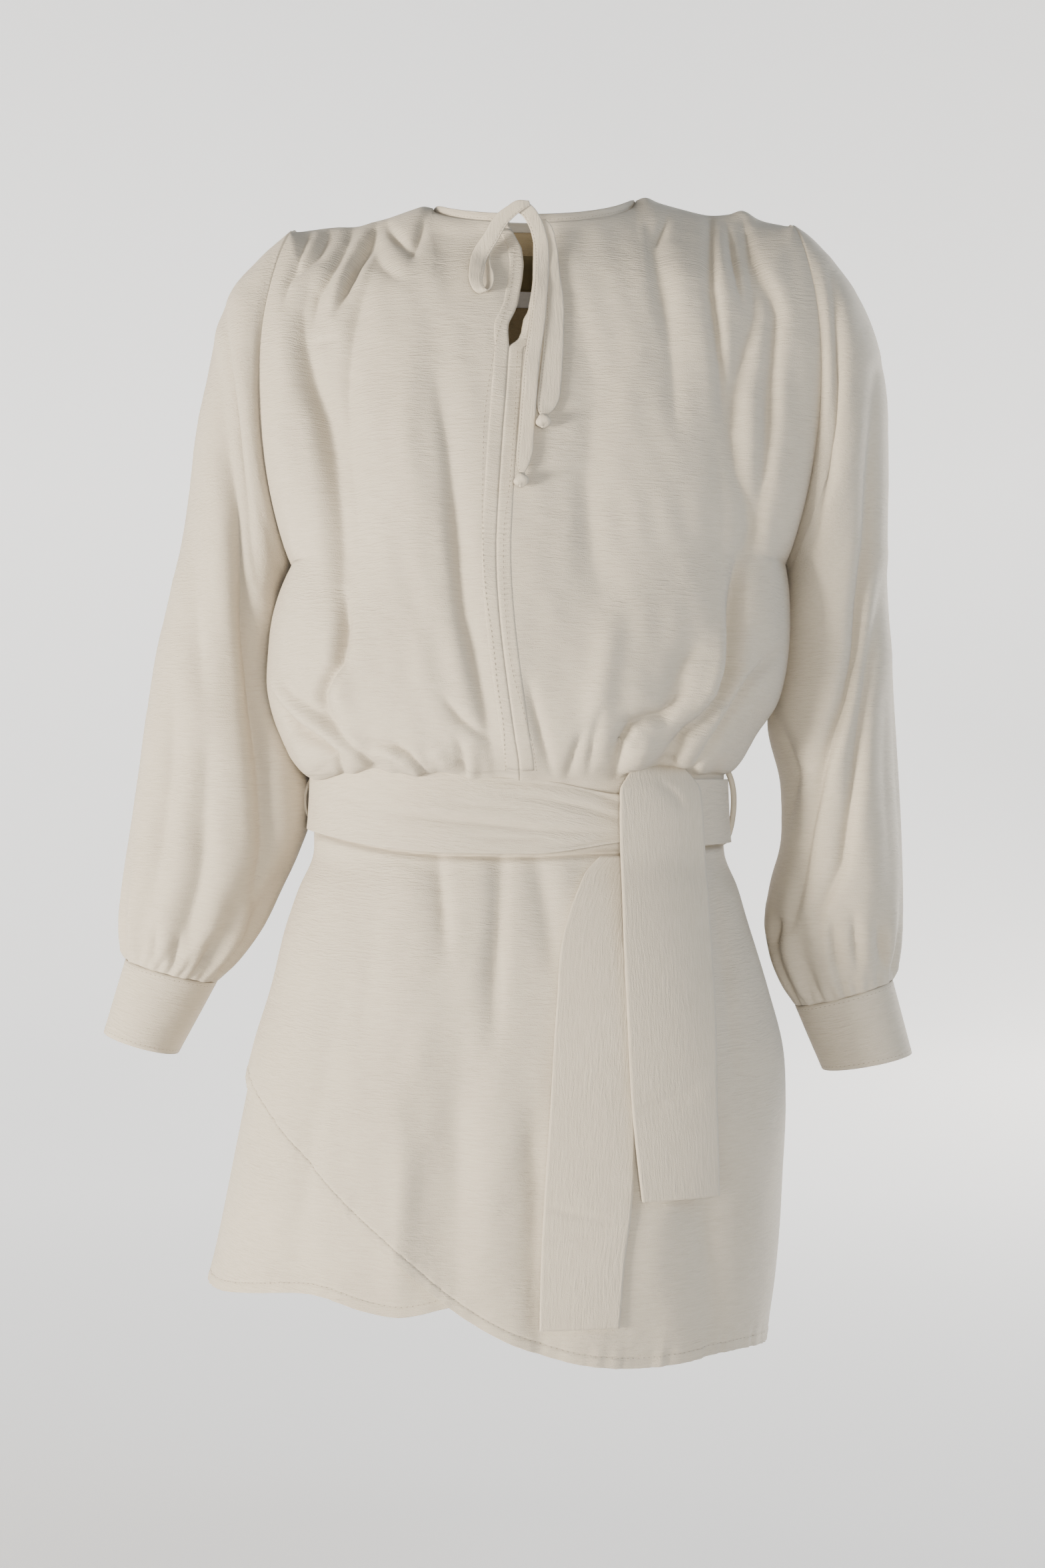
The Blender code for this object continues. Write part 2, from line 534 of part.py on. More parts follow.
def belt_points(angles, offset):
    """The belt round the waist, at a distance outside the waist seam."""
    ring = skirt_ring(angles, np.full(len(angles), WAIST_Z))
    ring = ring + offset * ring_normals(ring)
    top = smooth(ring[:, 0], BELT_EDGE["x"], BELT_EDGE["top"])
    bottom = smooth(ring[:, 0], BELT_EDGE["x"], BELT_EDGE["bottom"])
    rows = []
    for share, bulge in ((0, 0), (0.5, 0.4 * MM), (1, 0)):
        row = ring + bulge * ring_normals(ring)
        row[:, 2] = top + (bottom - top) * share
        rows.append(row)
    return np.array(rows)


def ring_normals(ring):
    """Level outward normals of a closed ring of points."""
    along = np.roll(ring, -1, axis=0) - np.roll(ring, 1, axis=0)
    normal = np.cross(along, (0, 0, 1))
    outwards = np.sign(np.sum(normal * (ring - ring.mean(axis=0)), axis=1, keepdims=True))
    return normal * outwards / np.linalg.norm(normal, axis=1, keepdims=True)


# Sleeves


def ring(row, angle):
    """A ring across a sleeve. The angle is 0 at its outer edge, a quarter turn at its front."""
    across = np.cos(angle)
    deep = np.sin(angle)
    x = (row["out_x"] + row["in_x"]) / 2 + (row["out_x"] - row["in_x"]) / 2 * across + row["bow"] * deep**2
    z = (row["out_z"] + row["in_z"]) / 2 + (row["out_z"] - row["in_z"]) / 2 * across
    y = np.where(deep > 0, row["front"], row["back"]) * np.abs(deep) ** 0.92 + row["middle"]
    return np.stack([x, y, z], axis=-1)


def sleeve_table(side):
    """The sleeve's rings, with the armhole itself put first."""
    hole = ARMHOLE[side]
    outwards = math.copysign(1, hole["bow"])
    first = dict(out_x=hole["top"][0] + outwards * SHOULDER_INSET, out_z=hole["top"][1],
                 in_x=hole["low"][0] + outwards * UNDERARM_INSET,
                 in_z=hole["low"][1], front=hole["front"], back=hole["back"], middle=0.0, bow=hole["bow"])
    return {name: np.concatenate([[first[name]], column]) for name, column in SLEEVE[side].items()}


def sleeve_surface(side):
    rings = sleeve_table(side)
    places = np.linspace(0, 1, len(rings["bow"]))

    def surface(angle, s):
        angle = np.asarray(angle, float) + 0 * s
        s = np.asarray(s, float) + 0 * angle
        row = {name: smooth(s, places, column) for name, column in rings.items()}
        return ring(row, angle)

    return surface


def gather_wave(angle, count):
    """Uneven ripples round a ring, from -1 to 1."""
    swell = 0.7 + 0.3 * np.sin(3 * angle + 1.0)
    return swell * np.sin(count * angle + 0.8 * np.sin(2 * angle))


def sleeve_points(side, angles, rows, out=0.0):
    surface = sleeve_surface(side)
    angle, s = np.meshgrid(angles, rows)
    base = surface(angle, s)
    front = np.sin(angle) > 0
    x, z = seen(base)
    folds = np.where(front, fold_depth(x, z, SLEEVE_FOLDS[side]),
                     fold_depth(base[..., 0], base[..., 2], SLEEVE_BACK_FOLDS[side]))
    calm = ease(s, 0.02, 0.12) * (1 - ease(s, 0.93, 1.0)) * ease(np.abs(np.sin(angle)), 0.05, 0.5)
    gathers = GATHER_DEPTH * ease(s, 1 - GATHER_REACH, 0.95) * gather_wave(angle, GATHERS)
    gathers = gathers * (1 - 0.75 * ease(s, 0.95, 1.0))
    facing_out = 1 if side == "left" else -1
    return moved_along_normal(surface, angle, s, facing_out * (gathers + out - folds * calm))


# Meshes


def clear_scene():
    for obj in list(bpy.data.objects):
        bpy.data.objects.remove(obj, do_unlink=True)


def material(name, colour, roughness=0.85):
    """A plain cloth finish."""
    made = bpy.data.materials.new(name)
    made.use_nodes = True
    shader = made.node_tree.nodes["Principled BSDF"]
    shader.inputs["Base Color"].default_value = (*colour, 1)
    shader.inputs["Roughness"].default_value = roughness
    shader.inputs["Metallic"].default_value = 0.0
    return made


def sheet(name, grid, finish, wall=WALL, closed=False, flip=False):
    """A cloth wall through a grid of points: an open surface, or a tube if closed, made thick."""
    rows, columns = grid.shape[:2]
    shape = bmesh.new()
    points = [[shape.verts.new(point) for point in row] for row in grid]
    for i in range(rows - 1):
        for j in range(columns if closed else columns - 1):
            k = (j + 1) % columns
            corners = (points[i][j], points[i + 1][j], points[i + 1][k], points[i][k])
            shape.faces.new(corners[::-1] if flip else corners)
    mesh = bpy.data.meshes.new(name)
    shape.to_mesh(mesh)
    shape.free()
    mesh.shade_smooth()
    obj = bpy.data.objects.new(name, mesh)
    PART.objects.link(obj)
    thick = obj.modifiers.new("Wall", "SOLIDIFY")
    thick.thickness = wall
    thick.offset = 0
    thick.use_rim = True
    mesh.materials.append(finish)
    return obj


def ball(name, place, radius, finish):
    """A tied knot at the end of a tie, as a slightly flattened ball."""
    bpy.ops.mesh.primitive_uv_sphere_add(segments=10, ring_count=6, radius=radius, location=place)
    obj = bpy.context.object
    obj.name = name
    obj.data.name = name
    for collection in list(obj.users_collection):
        collection.objects.unlink(obj)
    PART.objects.link(obj)
    obj.data.shade_smooth()
    obj.data.materials.append(finish)
    return obj


def bodice_y(x, z, front=True):
    """Depth of the plain bodice at a place, found by stepping along its own rows and columns."""
    side = "left" if x > -5 * MM else "right"
    surface = bodice(side, front)
    a, s = 0.1, 0.2
    for _ in range(12):
        here = surface(a, s)
        beside = surface(a + 1e-3, s)
        below = surface(a, s + 1e-3)
        a = float(np.clip(a + (x - here[0]) * 1e-3 / (beside[0] - here[0]), 0, 0.9))
        s = float(np.clip(s + (z - here[2]) * 1e-3 / (below[2] - here[2]), 0.0, 0.85))
    return surface(a, s)[1]


def on_bodice(x, z, clear):
    """The world point seen at x and z (mm), standing off the bodice front by clear (mm)."""
    y = NECK_FRONT
    for _ in range(6):
        world_x, world_z = unseen(x * MM, z * MM, y)
        y = bodice_y(world_x, min(world_z, -26 * MM)) - clear * MM
    world_x, world_z = unseen(x * MM, z * MM, y)
    return np.array([world_x, y, world_z])


def ribbon_points(places, count, narrow_end=1.0):
    """A flat strip seen face on along a smooth line through the given places."""
    anchors = np.array([on_bodice(*place) for place in places])
    lengths = np.linalg.norm(np.diff(anchors, axis=0), axis=1)
    along = np.concatenate([[0], np.cumsum(lengths)]) / lengths.sum()
    t = np.linspace(0, 1, count)
    line = np.stack([smooth(t, along, anchors[:, i]) for i in range(3)], axis=-1)
    step = np.gradient(line, axis=0)
    across = np.cross(step, (0, 1, 0))
    across = across / np.linalg.norm(across, axis=1, keepdims=True)
    half = TIE_WIDTH / 2 * (1 - (1 - narrow_end) * ease(t, 0.93, 1.0))
    return np.stack([line - across * half[:, None], line, line + across * half[:, None]], axis=1)


# Pieces


def make_bodice(cloth):
    neck_columns = 6
    shoulder_columns = 14
    rows = np.concatenate([BODICE_TOP_ROWS, BODICE_BODY_ROWS, BODICE_CURL_ROWS])
    for side in ("right", "left"):
        inner = CENTRE["fold"][1] + CENTRE[side][1]
        neck_share = (SHOULDER[side]["x"][0] - inner) / (SHOULDER[side]["x"][-1] - inner)
        neck = neck_share * np.sin(np.linspace(0, 1, neck_columns + 1)[:-1] * math.pi / 2)
        rest = neck_share + (1 - neck_share) * np.sin(np.linspace(0, 1, shoulder_columns) * math.pi / 2)
        a, s = np.meshgrid(np.concatenate([neck, rest]), rows)
        a[:, 0] = HALF_SEAM / abs(SHOULDER[side]["x"][-1])
        grid = bodice_points(side, True, a, s)
        sheet("bodice_front_" + side, grid, cloth, flip=side == "right")
        strip_a, strip_s = placket_places(side, rows)
        strip = bodice_points(side, True, strip_a, strip_s, out=(WALL + TRIM_WALL) / 2 + 3 * GAP)
        sheet("placket_" + side, strip, cloth, wall=TRIM_WALL, flip=side == "right")
    halves = []
    for side in ("right", "left"):
        neck_share = abs(SHOULDER[side]["x"][0] / SHOULDER[side]["x"][-1])
        neck = neck_share * np.sin(np.linspace(0, 1, neck_columns)[:-1] * math.pi / 2)
        rest = neck_share + (1 - neck_share) * np.sin(np.linspace(0, 1, shoulder_columns - 2) * math.pi / 2)
        a, s = np.meshgrid(np.concatenate([neck, rest]), rows)
        halves.append(bodice_points(side, False, a, s))
    grid = np.concatenate([halves[0][:, :0:-1], halves[1]], axis=1)
    sheet("bodice_back", grid, cloth)


def placket_places(side, rows):
    """Where a placket lies on its panel: columns from the centre edge, rows from the neck to the blouson."""
    used = rows[(rows > 0.01) & (rows < PLACKET_END_ROW)]
    surface = bodice(side, True)
    width = []
    for s in used:
        one_percent = abs(surface(0.01, s)[0] - surface(0.0, s)[0])
        width.append(PLACKET_WIDTH / one_percent * 0.01)
    inner = (HALF_SEAM * 1.5) / abs(SHOULDER[side]["x"][-1])
    a = np.stack([np.full(len(used), inner), inner + np.array(width) / 2, inner + np.array(width)], axis=1)
    return a, np.repeat(used[:, None], 3, axis=1)


def make_neckband(cloth):
    """A narrow standing band from one side of the slit round the back of the neck to the other."""
    start = math.asin((CENTRE["fold"][1] + CENTRE["left"][1] - NECK_X) / NECK_HALF_WIDTH)
    end = TURN + math.asin((CENTRE["fold"][1] + CENTRE["right"][1] - NECK_X) / NECK_HALF_WIDTH)
    turns = np.linspace(start, end, 40)
    rows = []
    for share in (0, 1):
        lean = 1 - (BAND_INSET + share * BAND_LEAN) / NECK_HALF_WIDTH
        x = NECK_X + NECK_HALF_WIDTH * np.sin(turns)
        front = np.cos(turns) > 0
        y_front, z_front = neckline(x, True)
        y_back, z_back = neckline(x, False)
        y = np.where(front, y_front, y_back)
        z = np.where(front, z_front, z_back) + BAND_LIFT + BAND_HEIGHT * share
        rows.append(np.stack([NECK_X + (x - NECK_X) * lean, y * lean, z], axis=-1))
    sheet("neckband", np.array(rows), cloth, wall=TRIM_WALL, flip=True)


def make_sleeves(cloth):
    columns = 44
    upper_rows = np.linspace(0, 0.66, 11)
    lower_rows = np.array([0.74, 0.81, 0.88, 0.94, 1.0])
    for side in ("right", "left"):
        angles = np.linspace(0, TURN, columns, endpoint=False)
        grid = sleeve_points(side, angles, np.concatenate([upper_rows, lower_rows]))
        sheet("sleeve_" + side, grid, cloth, closed=True, flip=side == "right")
        rings = CUFF[side]
        angle, s = np.meshgrid(np.linspace(0, TURN, 28, endpoint=False), np.linspace(0, 1, 3))
        row = {name: smooth(s, np.linspace(0, 1, 3), column) for name, column in rings.items()}
        sheet("cuff_" + side, ring(row, angle), cloth, closed=True, flip=side == "right")


def make_skirt(cloth):
    half = math.pi
    edge = 0.0035
    hip_rows = [0, 0.04, 0.088, 0.16]
    rows = np.concatenate([hip_rows, np.linspace(HIP_ROW, 1, 8)])
    front = np.linspace(edge, half - edge, 27)
    overlap = skirt_panel(front, rows, HEM["overlap"], SKIRT_FOLDS, overlap_shift)
    sheet("skirt_overlap", overlap, cloth, flip=True)
    inner_rows = np.concatenate([hip_rows, np.linspace(HIP_ROW, 1, 7)])
    underlay = skirt_panel(front, inner_rows, HEM["underlay"], SKIRT_FOLDS, underlay_shift)
    sheet("skirt_underlay", underlay, cloth, flip=True)
    behind = np.linspace(half + edge, TURN - edge, 25)
    back = skirt_panel(behind, rows, HEM["back"], SKIRT_BACK_FOLDS, no_shift)
    sheet("skirt_back", back, cloth, flip=True)


def make_belt(cloth):
    angles = np.linspace(0, TURN, 44, endpoint=False)
    sheet("belt", belt_points(angles, BELT_OFFSET), cloth, wall=BELT_WALL, closed=True, flip=True)
    for name, end in (("belt_end_short", END_SHORT), ("belt_end_long", END_LONG)):
        z = end["z"][:, None] + np.zeros(5)
        x = end["left"][:, None] + (end["right"] - end["left"])[:, None] * np.linspace(0, 1, 5)
        y, steep = skirt_front_y(x, z)
        y = y - steep * end["clear"][:, None]
        sheet(name, np.stack([x, y, z], axis=-1), cloth)
    for side, sign in (("right", -1), ("left", 1)):
        outer = WAIST_X + sign * WAIST_HALF_WIDTH
        path = zip(*LOOP_PATH.values())
        rows = [[(outer + sign * out, y, z) for y in (LOOP_FRONT, LOOP_BACK)] for out, z in path]
        sheet("belt_loop_" + side, np.array(rows), cloth, wall=LOOP_WALL, flip=side == "left")


def make_tie(cloth):
    sheet("tie_loop", ribbon_points(TIE_LOOP, 24), cloth, wall=TRIM_WALL)
    sheet("tie_tail_long", ribbon_points(TIE_TAIL_LONG, 18, narrow_end=0.45), cloth, wall=TRIM_WALL)
    sheet("tie_tail_short", ribbon_points(TIE_TAIL_SHORT, 15, narrow_end=0.45), cloth, wall=TRIM_WALL)
    ball("tie_ball_long", on_bodice(*BALL_LONG), BALL_RADIUS, cloth)
    ball("tie_ball_short", on_bodice(*BALL_SHORT), BALL_RADIUS, cloth)


def make_labels(olive, white):
    """Flat labels just inside the back, under the neck."""
    for name, (left, right, bottom, top), finish in (("neck_label", LABEL, olive),
    ("size_tag", TAG, white)):
        x, z = np.meshgrid(np.linspace(left, right, 5), np.linspace(top, bottom, 3))
        depth = np.array([[bodice_y(*place, front=False) for place in zip(*row)] for row in zip(x, z)])
        sheet(name, np.stack([x, depth - LABEL_CLEAR, z], axis=-1), finish, wall=LABEL_WALL)


clear_scene()
PART = bpy.data.collections.new("tie_neck_dress")
bpy.context.scene.collection.children.link(PART)
CLOTH = material("crinkle_cloth", (0.62, 0.585, 0.535))
OLIVE = material("olive_label", (0.16, 0.12, 0.05))
WHITE = material("white_tag", (0.75, 0.70, 0.64))
make_bodice(CLOTH)
make_neckband(CLOTH)
make_sleeves(CLOTH)
make_skirt(CLOTH)
make_belt(CLOTH)
make_tie(CLOTH)
make_labels(OLIVE, WHITE)
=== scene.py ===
"""The looks of the tie-neck dress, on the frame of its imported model.

Each piece of cloth is a thin shell on the form of its CAD solid, worked out from the same tables at a finer
grain, with its creases, gathers, hem puckers and stitches. Metres, +Z up, the dress faces -Y. Tables are in
millimetres, as seen from the camera on the plane y = 0 where their comment says so.
"""

import math

import bpy
import numpy as np
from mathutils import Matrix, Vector
from mathutils.bvhtree import BVHTree


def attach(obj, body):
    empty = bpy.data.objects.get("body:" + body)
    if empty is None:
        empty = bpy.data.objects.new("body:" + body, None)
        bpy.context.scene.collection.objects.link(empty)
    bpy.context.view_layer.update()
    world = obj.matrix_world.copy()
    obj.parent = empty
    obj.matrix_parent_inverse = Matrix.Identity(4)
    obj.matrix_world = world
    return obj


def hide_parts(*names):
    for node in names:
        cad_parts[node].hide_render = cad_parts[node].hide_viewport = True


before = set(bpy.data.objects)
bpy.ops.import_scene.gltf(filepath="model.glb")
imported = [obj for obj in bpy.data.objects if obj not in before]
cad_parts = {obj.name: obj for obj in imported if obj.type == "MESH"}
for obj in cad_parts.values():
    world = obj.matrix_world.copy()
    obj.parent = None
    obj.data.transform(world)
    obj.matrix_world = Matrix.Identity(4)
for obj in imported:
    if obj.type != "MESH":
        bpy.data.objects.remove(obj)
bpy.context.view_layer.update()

MM = 0.001

# Cloth, and the room between sewn pieces
WALL = 1.5 * MM
PLACKET_WALL = 0.6 * MM
BAND_WALL = 1.6 * MM
CUFF_WALL = 1.8 * MM
BELT_WALL = 2.0 * MM
END_WALL = 1.6 * MM
HALF_SEAM = 0.15 * MM
SHOULDER_INSET = 0.1 * MM
UNDERARM_INSET = 0.2 * MM
LAYER = 2.5 * MM
# Heights below the shoulder between which the skirt's folds and swells begin and its layers part
FOLDS_BEGIN = (452 * MM, 460 * MM)
SWELLS_BEGIN = (452 * MM, 470 * MM)
LAYERS_PART = (456 * MM, 520 * MM)
# The turned-up hem's width, and the cuff's stitches from its two edges
HEM_WIDTH = 7 * MM
CUFF_STITCHES = (3 * MM, 2.5 * MM)

# The front view was measured from this point, on the plane y = 0
EYE_DISTANCE = 1.5
EYE_HEIGHT = -0.406

# Neck
NECK_X = 8.5 * MM
NECK_HALF_WIDTH = 72.5 * MM
NECK_FRONT = -66 * MM
NECK_BACK = 62 * MM
NECK_FRONT_Z = -23 * MM
NECK_BACK_Z = 4 * MM
BAND_HEIGHT = 5.2 * MM
BAND_LIFT = 1.2 * MM
BAND_INSET = 1.4 * MM
BAND_LEAN = 1.0 * MM
BAND_BELLY = 0.5 * MM
# From below its seam to its top, as shares of its height
BAND_REACH = (-0.35, 1.02)
# At the neck's corners, a band as wide as this is lower by a share and sits further down
BAND_CORNER = 0.22
BAND_LOWER = 0.55
BAND_SUNK = 1.2 * MM
PLACKET_WIDTH = 9.5 * MM
PLACKET_SUNK = 0.42 * MM
PLACKET_RISE = 0.42 * MM

# Waist and belt
WAIST_X = -2.5 * MM
WAIST_HALF_WIDTH = 145 * MM
WAIST_FRONT = 98 * MM
WAIST_BACK = 83 * MM
WAIST_Z = -426.4 * MM
HIP_Z = -510 * MM
# How the rows of the skirt are shared: down to the hip, down to the hem, then close ones
HIP_ROW = 0.25
HEM_ROW = 0.95
BELLY_Z = -378 * MM
BELT_OFFSET = 2.7 * MM
# Half the skirt's side seams, as an angle
SIDE_SEAM = 0.0008
ROUND = 2.3

# How the rows of the bodice are shared: close ones under the seam, down to the belly, then curled under to the waist
CURL_START = 0.88
CURL_SHARE = 1 - CURL_START
TOP_SHARE = 0.03
SHOULDER_ROUND = 75 * MM
PLACKET_START_ROW = 0.013
PLACKET_END_ROW = CURL_START + CURL_SHARE * 0.45

# Shares across (a) and down (s) a bodice panel: its top edge is followed closely, its side edge too, and its folds
# fade in and out beside its edges
TOP_BLUR_DOWN = (0.0, 0.07)
TOP_BLUR_ACROSS = (0.0, 0.1)
TOP_BLUR_DROP = 0.8
EDGE_NEAR = (0.80, 0.985)
CALM_SIDE = (0.90, 0.995)
CALM_LOW = (0.94, 0.975)
CALM_TOP = (0.0, 0.02)
# Where the lifts of the blouson begin down the panel, and end in its curl
LIFT_FROM = (0.80, 0.92)
LIFT_TO = (0.5, 0.85)
# How round the chest is, heights below the shoulder from it to the waist, and a sharper top towards the shoulder
CHEST_ROUND = 1.15
CHEST_TO_WAIST = (120 * MM, 270 * MM)
SHOULDER_SHARPER = 0.97
SLIT_TOP = -24 * MM
# Shares down and round a sleeve where its folds fade in and out
SLEEVE_CALM_TOP = (0.01, 0.07)
SLEEVE_CALM_LOW = (0.95, 1.0)
SLEEVE_CALM_SIDE = (0.02, 0.3)
# Swells of loose cloth: length and height
WIDE_SWELL = (90 * MM, 0.7 * MM)
SMALL_SWELL = (34 * MM, 0.28 * MM)
RIPPLE = (16 * MM, 0.09 * MM)
# How far stitches stand off the middle of the cloth under them
STITCH_OFF = 0.85 * MM
CUFF_STITCH_OFF = 0.95 * MM

TURN = 2 * math.pi
SIDES = ("right", "left")


def table(columns, rows):
    """Named columns of numbers in metres, from rows in millimetres."""
    return {name: np.array(column) * MM for name, column in zip(columns.split(), zip(*rows))}


def smooth(at, xs, ys):
    """A smooth curve through the points (xs, ys), read at the given places."""
    xs = np.asarray(xs, float)
    ys = np.asarray(ys, float)
    if xs[0] > xs[-1]:
        xs = xs[::-1]
        ys = ys[::-1]
    slopes = np.gradient(ys, xs)
    at = np.clip(np.asarray(at, float), xs[0], xs[-1])
    i = np.clip(np.searchsorted(xs, at) - 1, 0, len(xs) - 2)
    step = xs[i + 1] - xs[i]
    t = (at - xs[i]) / step
    start = ys[i] * (1 + 2 * t) * (1 - t) ** 2 + slopes[i] * step * t * (1 - t) ** 2
    end = ys[i + 1] * t * t * (3 - 2 * t) + slopes[i + 1] * step * t * t * (t - 1)
    return start + end


def ease(value, low, high):
    """0 at low, 1 at high, with a soft start and end."""
    t = np.clip((value - low) / (high - low), 0, 1)
    return t * t * (3 - 2 * t)


# Shoulder line from the neck out, as seen against the light: x outwards, z
SHOULDER = {
    "right": table("x z", [
        (-64, 3), (-70, 4), (-78, 1.7), (-95, -4), (-105, -6.5), (-115, -9.5), (-131, -10), (-150, -11.8),
        (-163.5, -13)]),
    "left": table("x z", [
        (81, 8.5), (86, 10.5), (96, 7), (111, 2.8), (133, -1.7), (147, -0.6), (156, 2), (167, -4), (186, -8),
        (192, -9)]),
}
# Armhole: top and underarm corners, how far it bows out sideways, forwards and back
ARMHOLE = {
    "right": dict(top=(-163.5 * MM, -13 * MM), low=(-163 * MM, -252 * MM),
                  bow=-18 * MM, front=-57 * MM, back=54 * MM),
    "left": dict(top=(192 * MM, -9 * MM), low=(186 * MM, -250 * MM),
                 bow=16 * MM, front=-58 * MM, back=55 * MM),
}
# Side seam of the bodice below the underarm
SIDE = {
    "right": table("z x", [
        (-252, -163), (-262, -168), (-285, -176), (-315, -180), (-340, -180.5), (-360, -176), (-380, -168),
        (-400, -161)]),
    "left": table("z x", [
        (-250, 186), (-262, 188), (-290, 189.5), (-312, 188.5), (-332, 185.5), (-350, 180), (-372, 165),
        (-400, 152)]),
}
# Depth of the bodice at its middle
DEPTH = table("z front back", [
    (8, -60, 58), (-20, -66, 63), (-60, -84, 76), (-114, -101, 84), (-160, -111, 88), (-200, -118, 90),
    (-250, -123, 92), (-300, -126, 96), (-340, -127, 100), (-372, -124, 100), (-400, -118, 96)])
# Centre front: the fold line, and how far each edge of the slit lies from it
CENTRE = table("z fold right left", [
    (8, -1, -8.5, 9), (-24, -1, -8.5, 9), (-32, -1, -4, 9), (-41, -1, 0.5, 8.8), (-54, -1.5, 2.5, 9.1),
    (-66, -2.5, 2.5, 9.9), (-75, -3.5, 1.9, 10), (-84, -4.7, 1.7, 9.7), (-91, -5.8, 0.2, 9.8), (-98, -7, -2, 10),
    (-104, -7.8, -1.6, 9.8), (-110, -8.4, -0.6, 8), (-115, -8.8, 0, 0), (-147, -10.9, 0, 0), (-181, -13.4, 0, 0),
    (-224, -16, 0, 0), (-247, -17, 0, 0), (-271, -16.6, 0, 0), (-300, -14.4, 0, 0), (-335, -10.3, 0, 0),
    (-365, -6.2, 0, 0), (-400, -1.6, 0, 0), (-430, -1.6, 0, 0)])
# The curl under the blouson: height, and how far in it has come, from 0 at the belly to 1 at the waist
CURL = [(0, -378, 0), (0.2, -388, 0.08), (0.4, -395, 0.33), (0.55, -397.6, 0.64), (0.68, -398.4, 0.9),
        (0.76, -399.6, 1), (0.84, -404, 1), (1, -426.0, 1)]
# The same where the belt's front holds the cloth close, which goes straight in behind it
CLOSE_CURL = [(0, -378, 0), (0.2, -386, 0.16), (0.4, -394, 0.42), (0.55, -400, 0.74), (0.68, -405, 0.97),
              (0.76, -409, 1), (0.84, -413, 1), (1, -426.0, 1)]
CLOSE_FROM = (-62 * MM, -34 * MM)
CLOSE_TO = (78 * MM, 104 * MM)
# Where the belt end and the gathers lift the blouson or let it hang lower: place, half width and height
LIFTS = [(95, 26, 7), (-141, 20, -4.5), (-101, 14, 6.5), (-72, 10, -2.5), (-52, 9, 2), (-35, 9, -2.5), (130, 9, 2)]
BACK_LIFTS = [(-130, 12, 4), (-96, 10, 3), (-60, 9, 2), (-40, 7, 3), (-10, 10, 3.5), (24, 8, 2), (58, 9, 3),
              (90, 11, 4), (134, 10, 3)]

# Skirt sections: sides, front and back
SKIRT = table("z right left front back", [
    (-426.4, -147.5, 142.5, -98, 83), (-440, -147.5, 142.5, -98, 83), (-456, -148, 143, -98.5, 84),
    (-479, -157, 152, -105, 92), (-501, -163.5, 158.5, -110, 99), (-552, -176, 174, -118, 109),
    (-591, -188, 184, -122, 115), (-630, -196, 186, -126, 119), (-675, -205, 184, -128, 122),
    (-720, -214, 181.5, -130, 124), (-756, -222, 178, -131, 125), (-800, -230, 171, -131, 125)])
HEM = {
    "overlap": table("x z", [
        (-197, -607), (-172, -636), (-140, -669), (-113, -694), (-86, -716), (-55, -743), (-14, -768), (27, -783),
        (60, -789), (78, -790.5), (105, -790), (132, -789), (160, -791), (174, -796)]),
    "underlay": table("x z", [
        (-222, -755), (-205, -753), (-185, -749), (-133, -744.5), (-104, -752), (-81, -755), (-55, -750), (0, -735),
        (60, -705), (120, -665), (187, -607)]),
    "back": table("x z", [(-222, -755), (-120, -768), (0, -775), (100, -779), (174, -795)]),
}

# Sleeve rings from the armhole to the cuff: outer and inner edge, front, back, middle in y, sideways bow
RING_COLUMNS = "out_x out_z in_x in_z front back middle bow"
SLEEVE = {
    "right": table(RING_COLUMNS, [
        (-178, -26, -165, -254, -61, 58, 0, -12.5), (-192, -39, -166, -257, -64, 60, 1, -8.5),
        (-203, -52, -167, -260, -65, 61, 2, -5), (-214, -73, -168.5, -263, -65, 62, 3, -2),
        (-221, -98, -170, -268, -64, 62, 4, 0), (-229, -140, -171, -277, -62, 60, 7, 0),
        (-236, -182, -172, -290, -60, 58, 10, 0), (-244, -230, -174, -308, -58, 56, 14, 0),
        (-254, -277, -172, -332, -56, 54, 16, 0), (-263.5, -322, -166, -356, -55, 54, 16, 0),
        (-272, -375, -155, -387, -55, 54, 14, 0), (-279, -425, -152.5, -425, -54, 53, 12, 0),
        (-284, -462, -161.5, -455, -53, 53, 10, 0), (-287, -492, -174, -482, -50, 50, 10, 0),
        (-287, -510, -187, -508, -44, 44, 10, 0), (-285, -522, -203, -530, -38, 38, 9, 0),
        (-283.5, -530, -220, -547, -32, 32, 8, 0)]),
    "left": table(RING_COLUMNS, [
        (207, -20, 186.5, -252, -63, 60, 0, 12), (222, -37, 187, -255, -66, 62, 1, 8),
        (236, -57, 187.5, -258, -68, 63, 2, 4), (248, -80, 187.5, -261, -68, 64, 3, 0),
        (257, -115, 187, -266, -67, 64, 5, 0), (260, -160, 186.5, -274, -64, 62, 8, 0),
        (260.5, -210, 185.5, -286, -61, 60, 12, 0), (262, -262, 183.5, -304, -59, 58, 16, 0),
        (265, -315, 180.5, -332, -57, 56, 16, 0), (268, -365, 178, -366, -56, 55, 15, 0),
        (270.5, -412, 187, -406, -56, 54, 13, 0), (272, -450, 187.5, -446, -56, 53, 12, 0),
        (272, -480, 180, -476, -54, 52, 11, 0), (270.5, -505, 175, -503, -50, 49, 10, 0),
        (268.5, -522, 178, -526, -44, 44, 9, 0), (266, -535, 186, -547, -38, 38, 8, 0),
        (264, -545, 196, -563.5, -32, 32, 7, 0)]),
}
# Cuffs: the two ends, with front and back
CUFF = {
    "right": table(RING_COLUMNS, [
        (-283.6, -531.2, -220.6, -548.2, -31, 31, 8, 0), (-291, -556, -234, -573, -31, 31, 8, 0),
        (-299, -583, -248, -598.5, -31, 31, 8, 0)]),
    "left": table(RING_COLUMNS, [
        (264.4, -546.2, 196.6, -564.7, -31, 31, 7, 0), (271, -571, 206, -587, -31, 31, 7, 0),
        (278, -598, 216, -610, -31, 31, 7, 0)]),
}
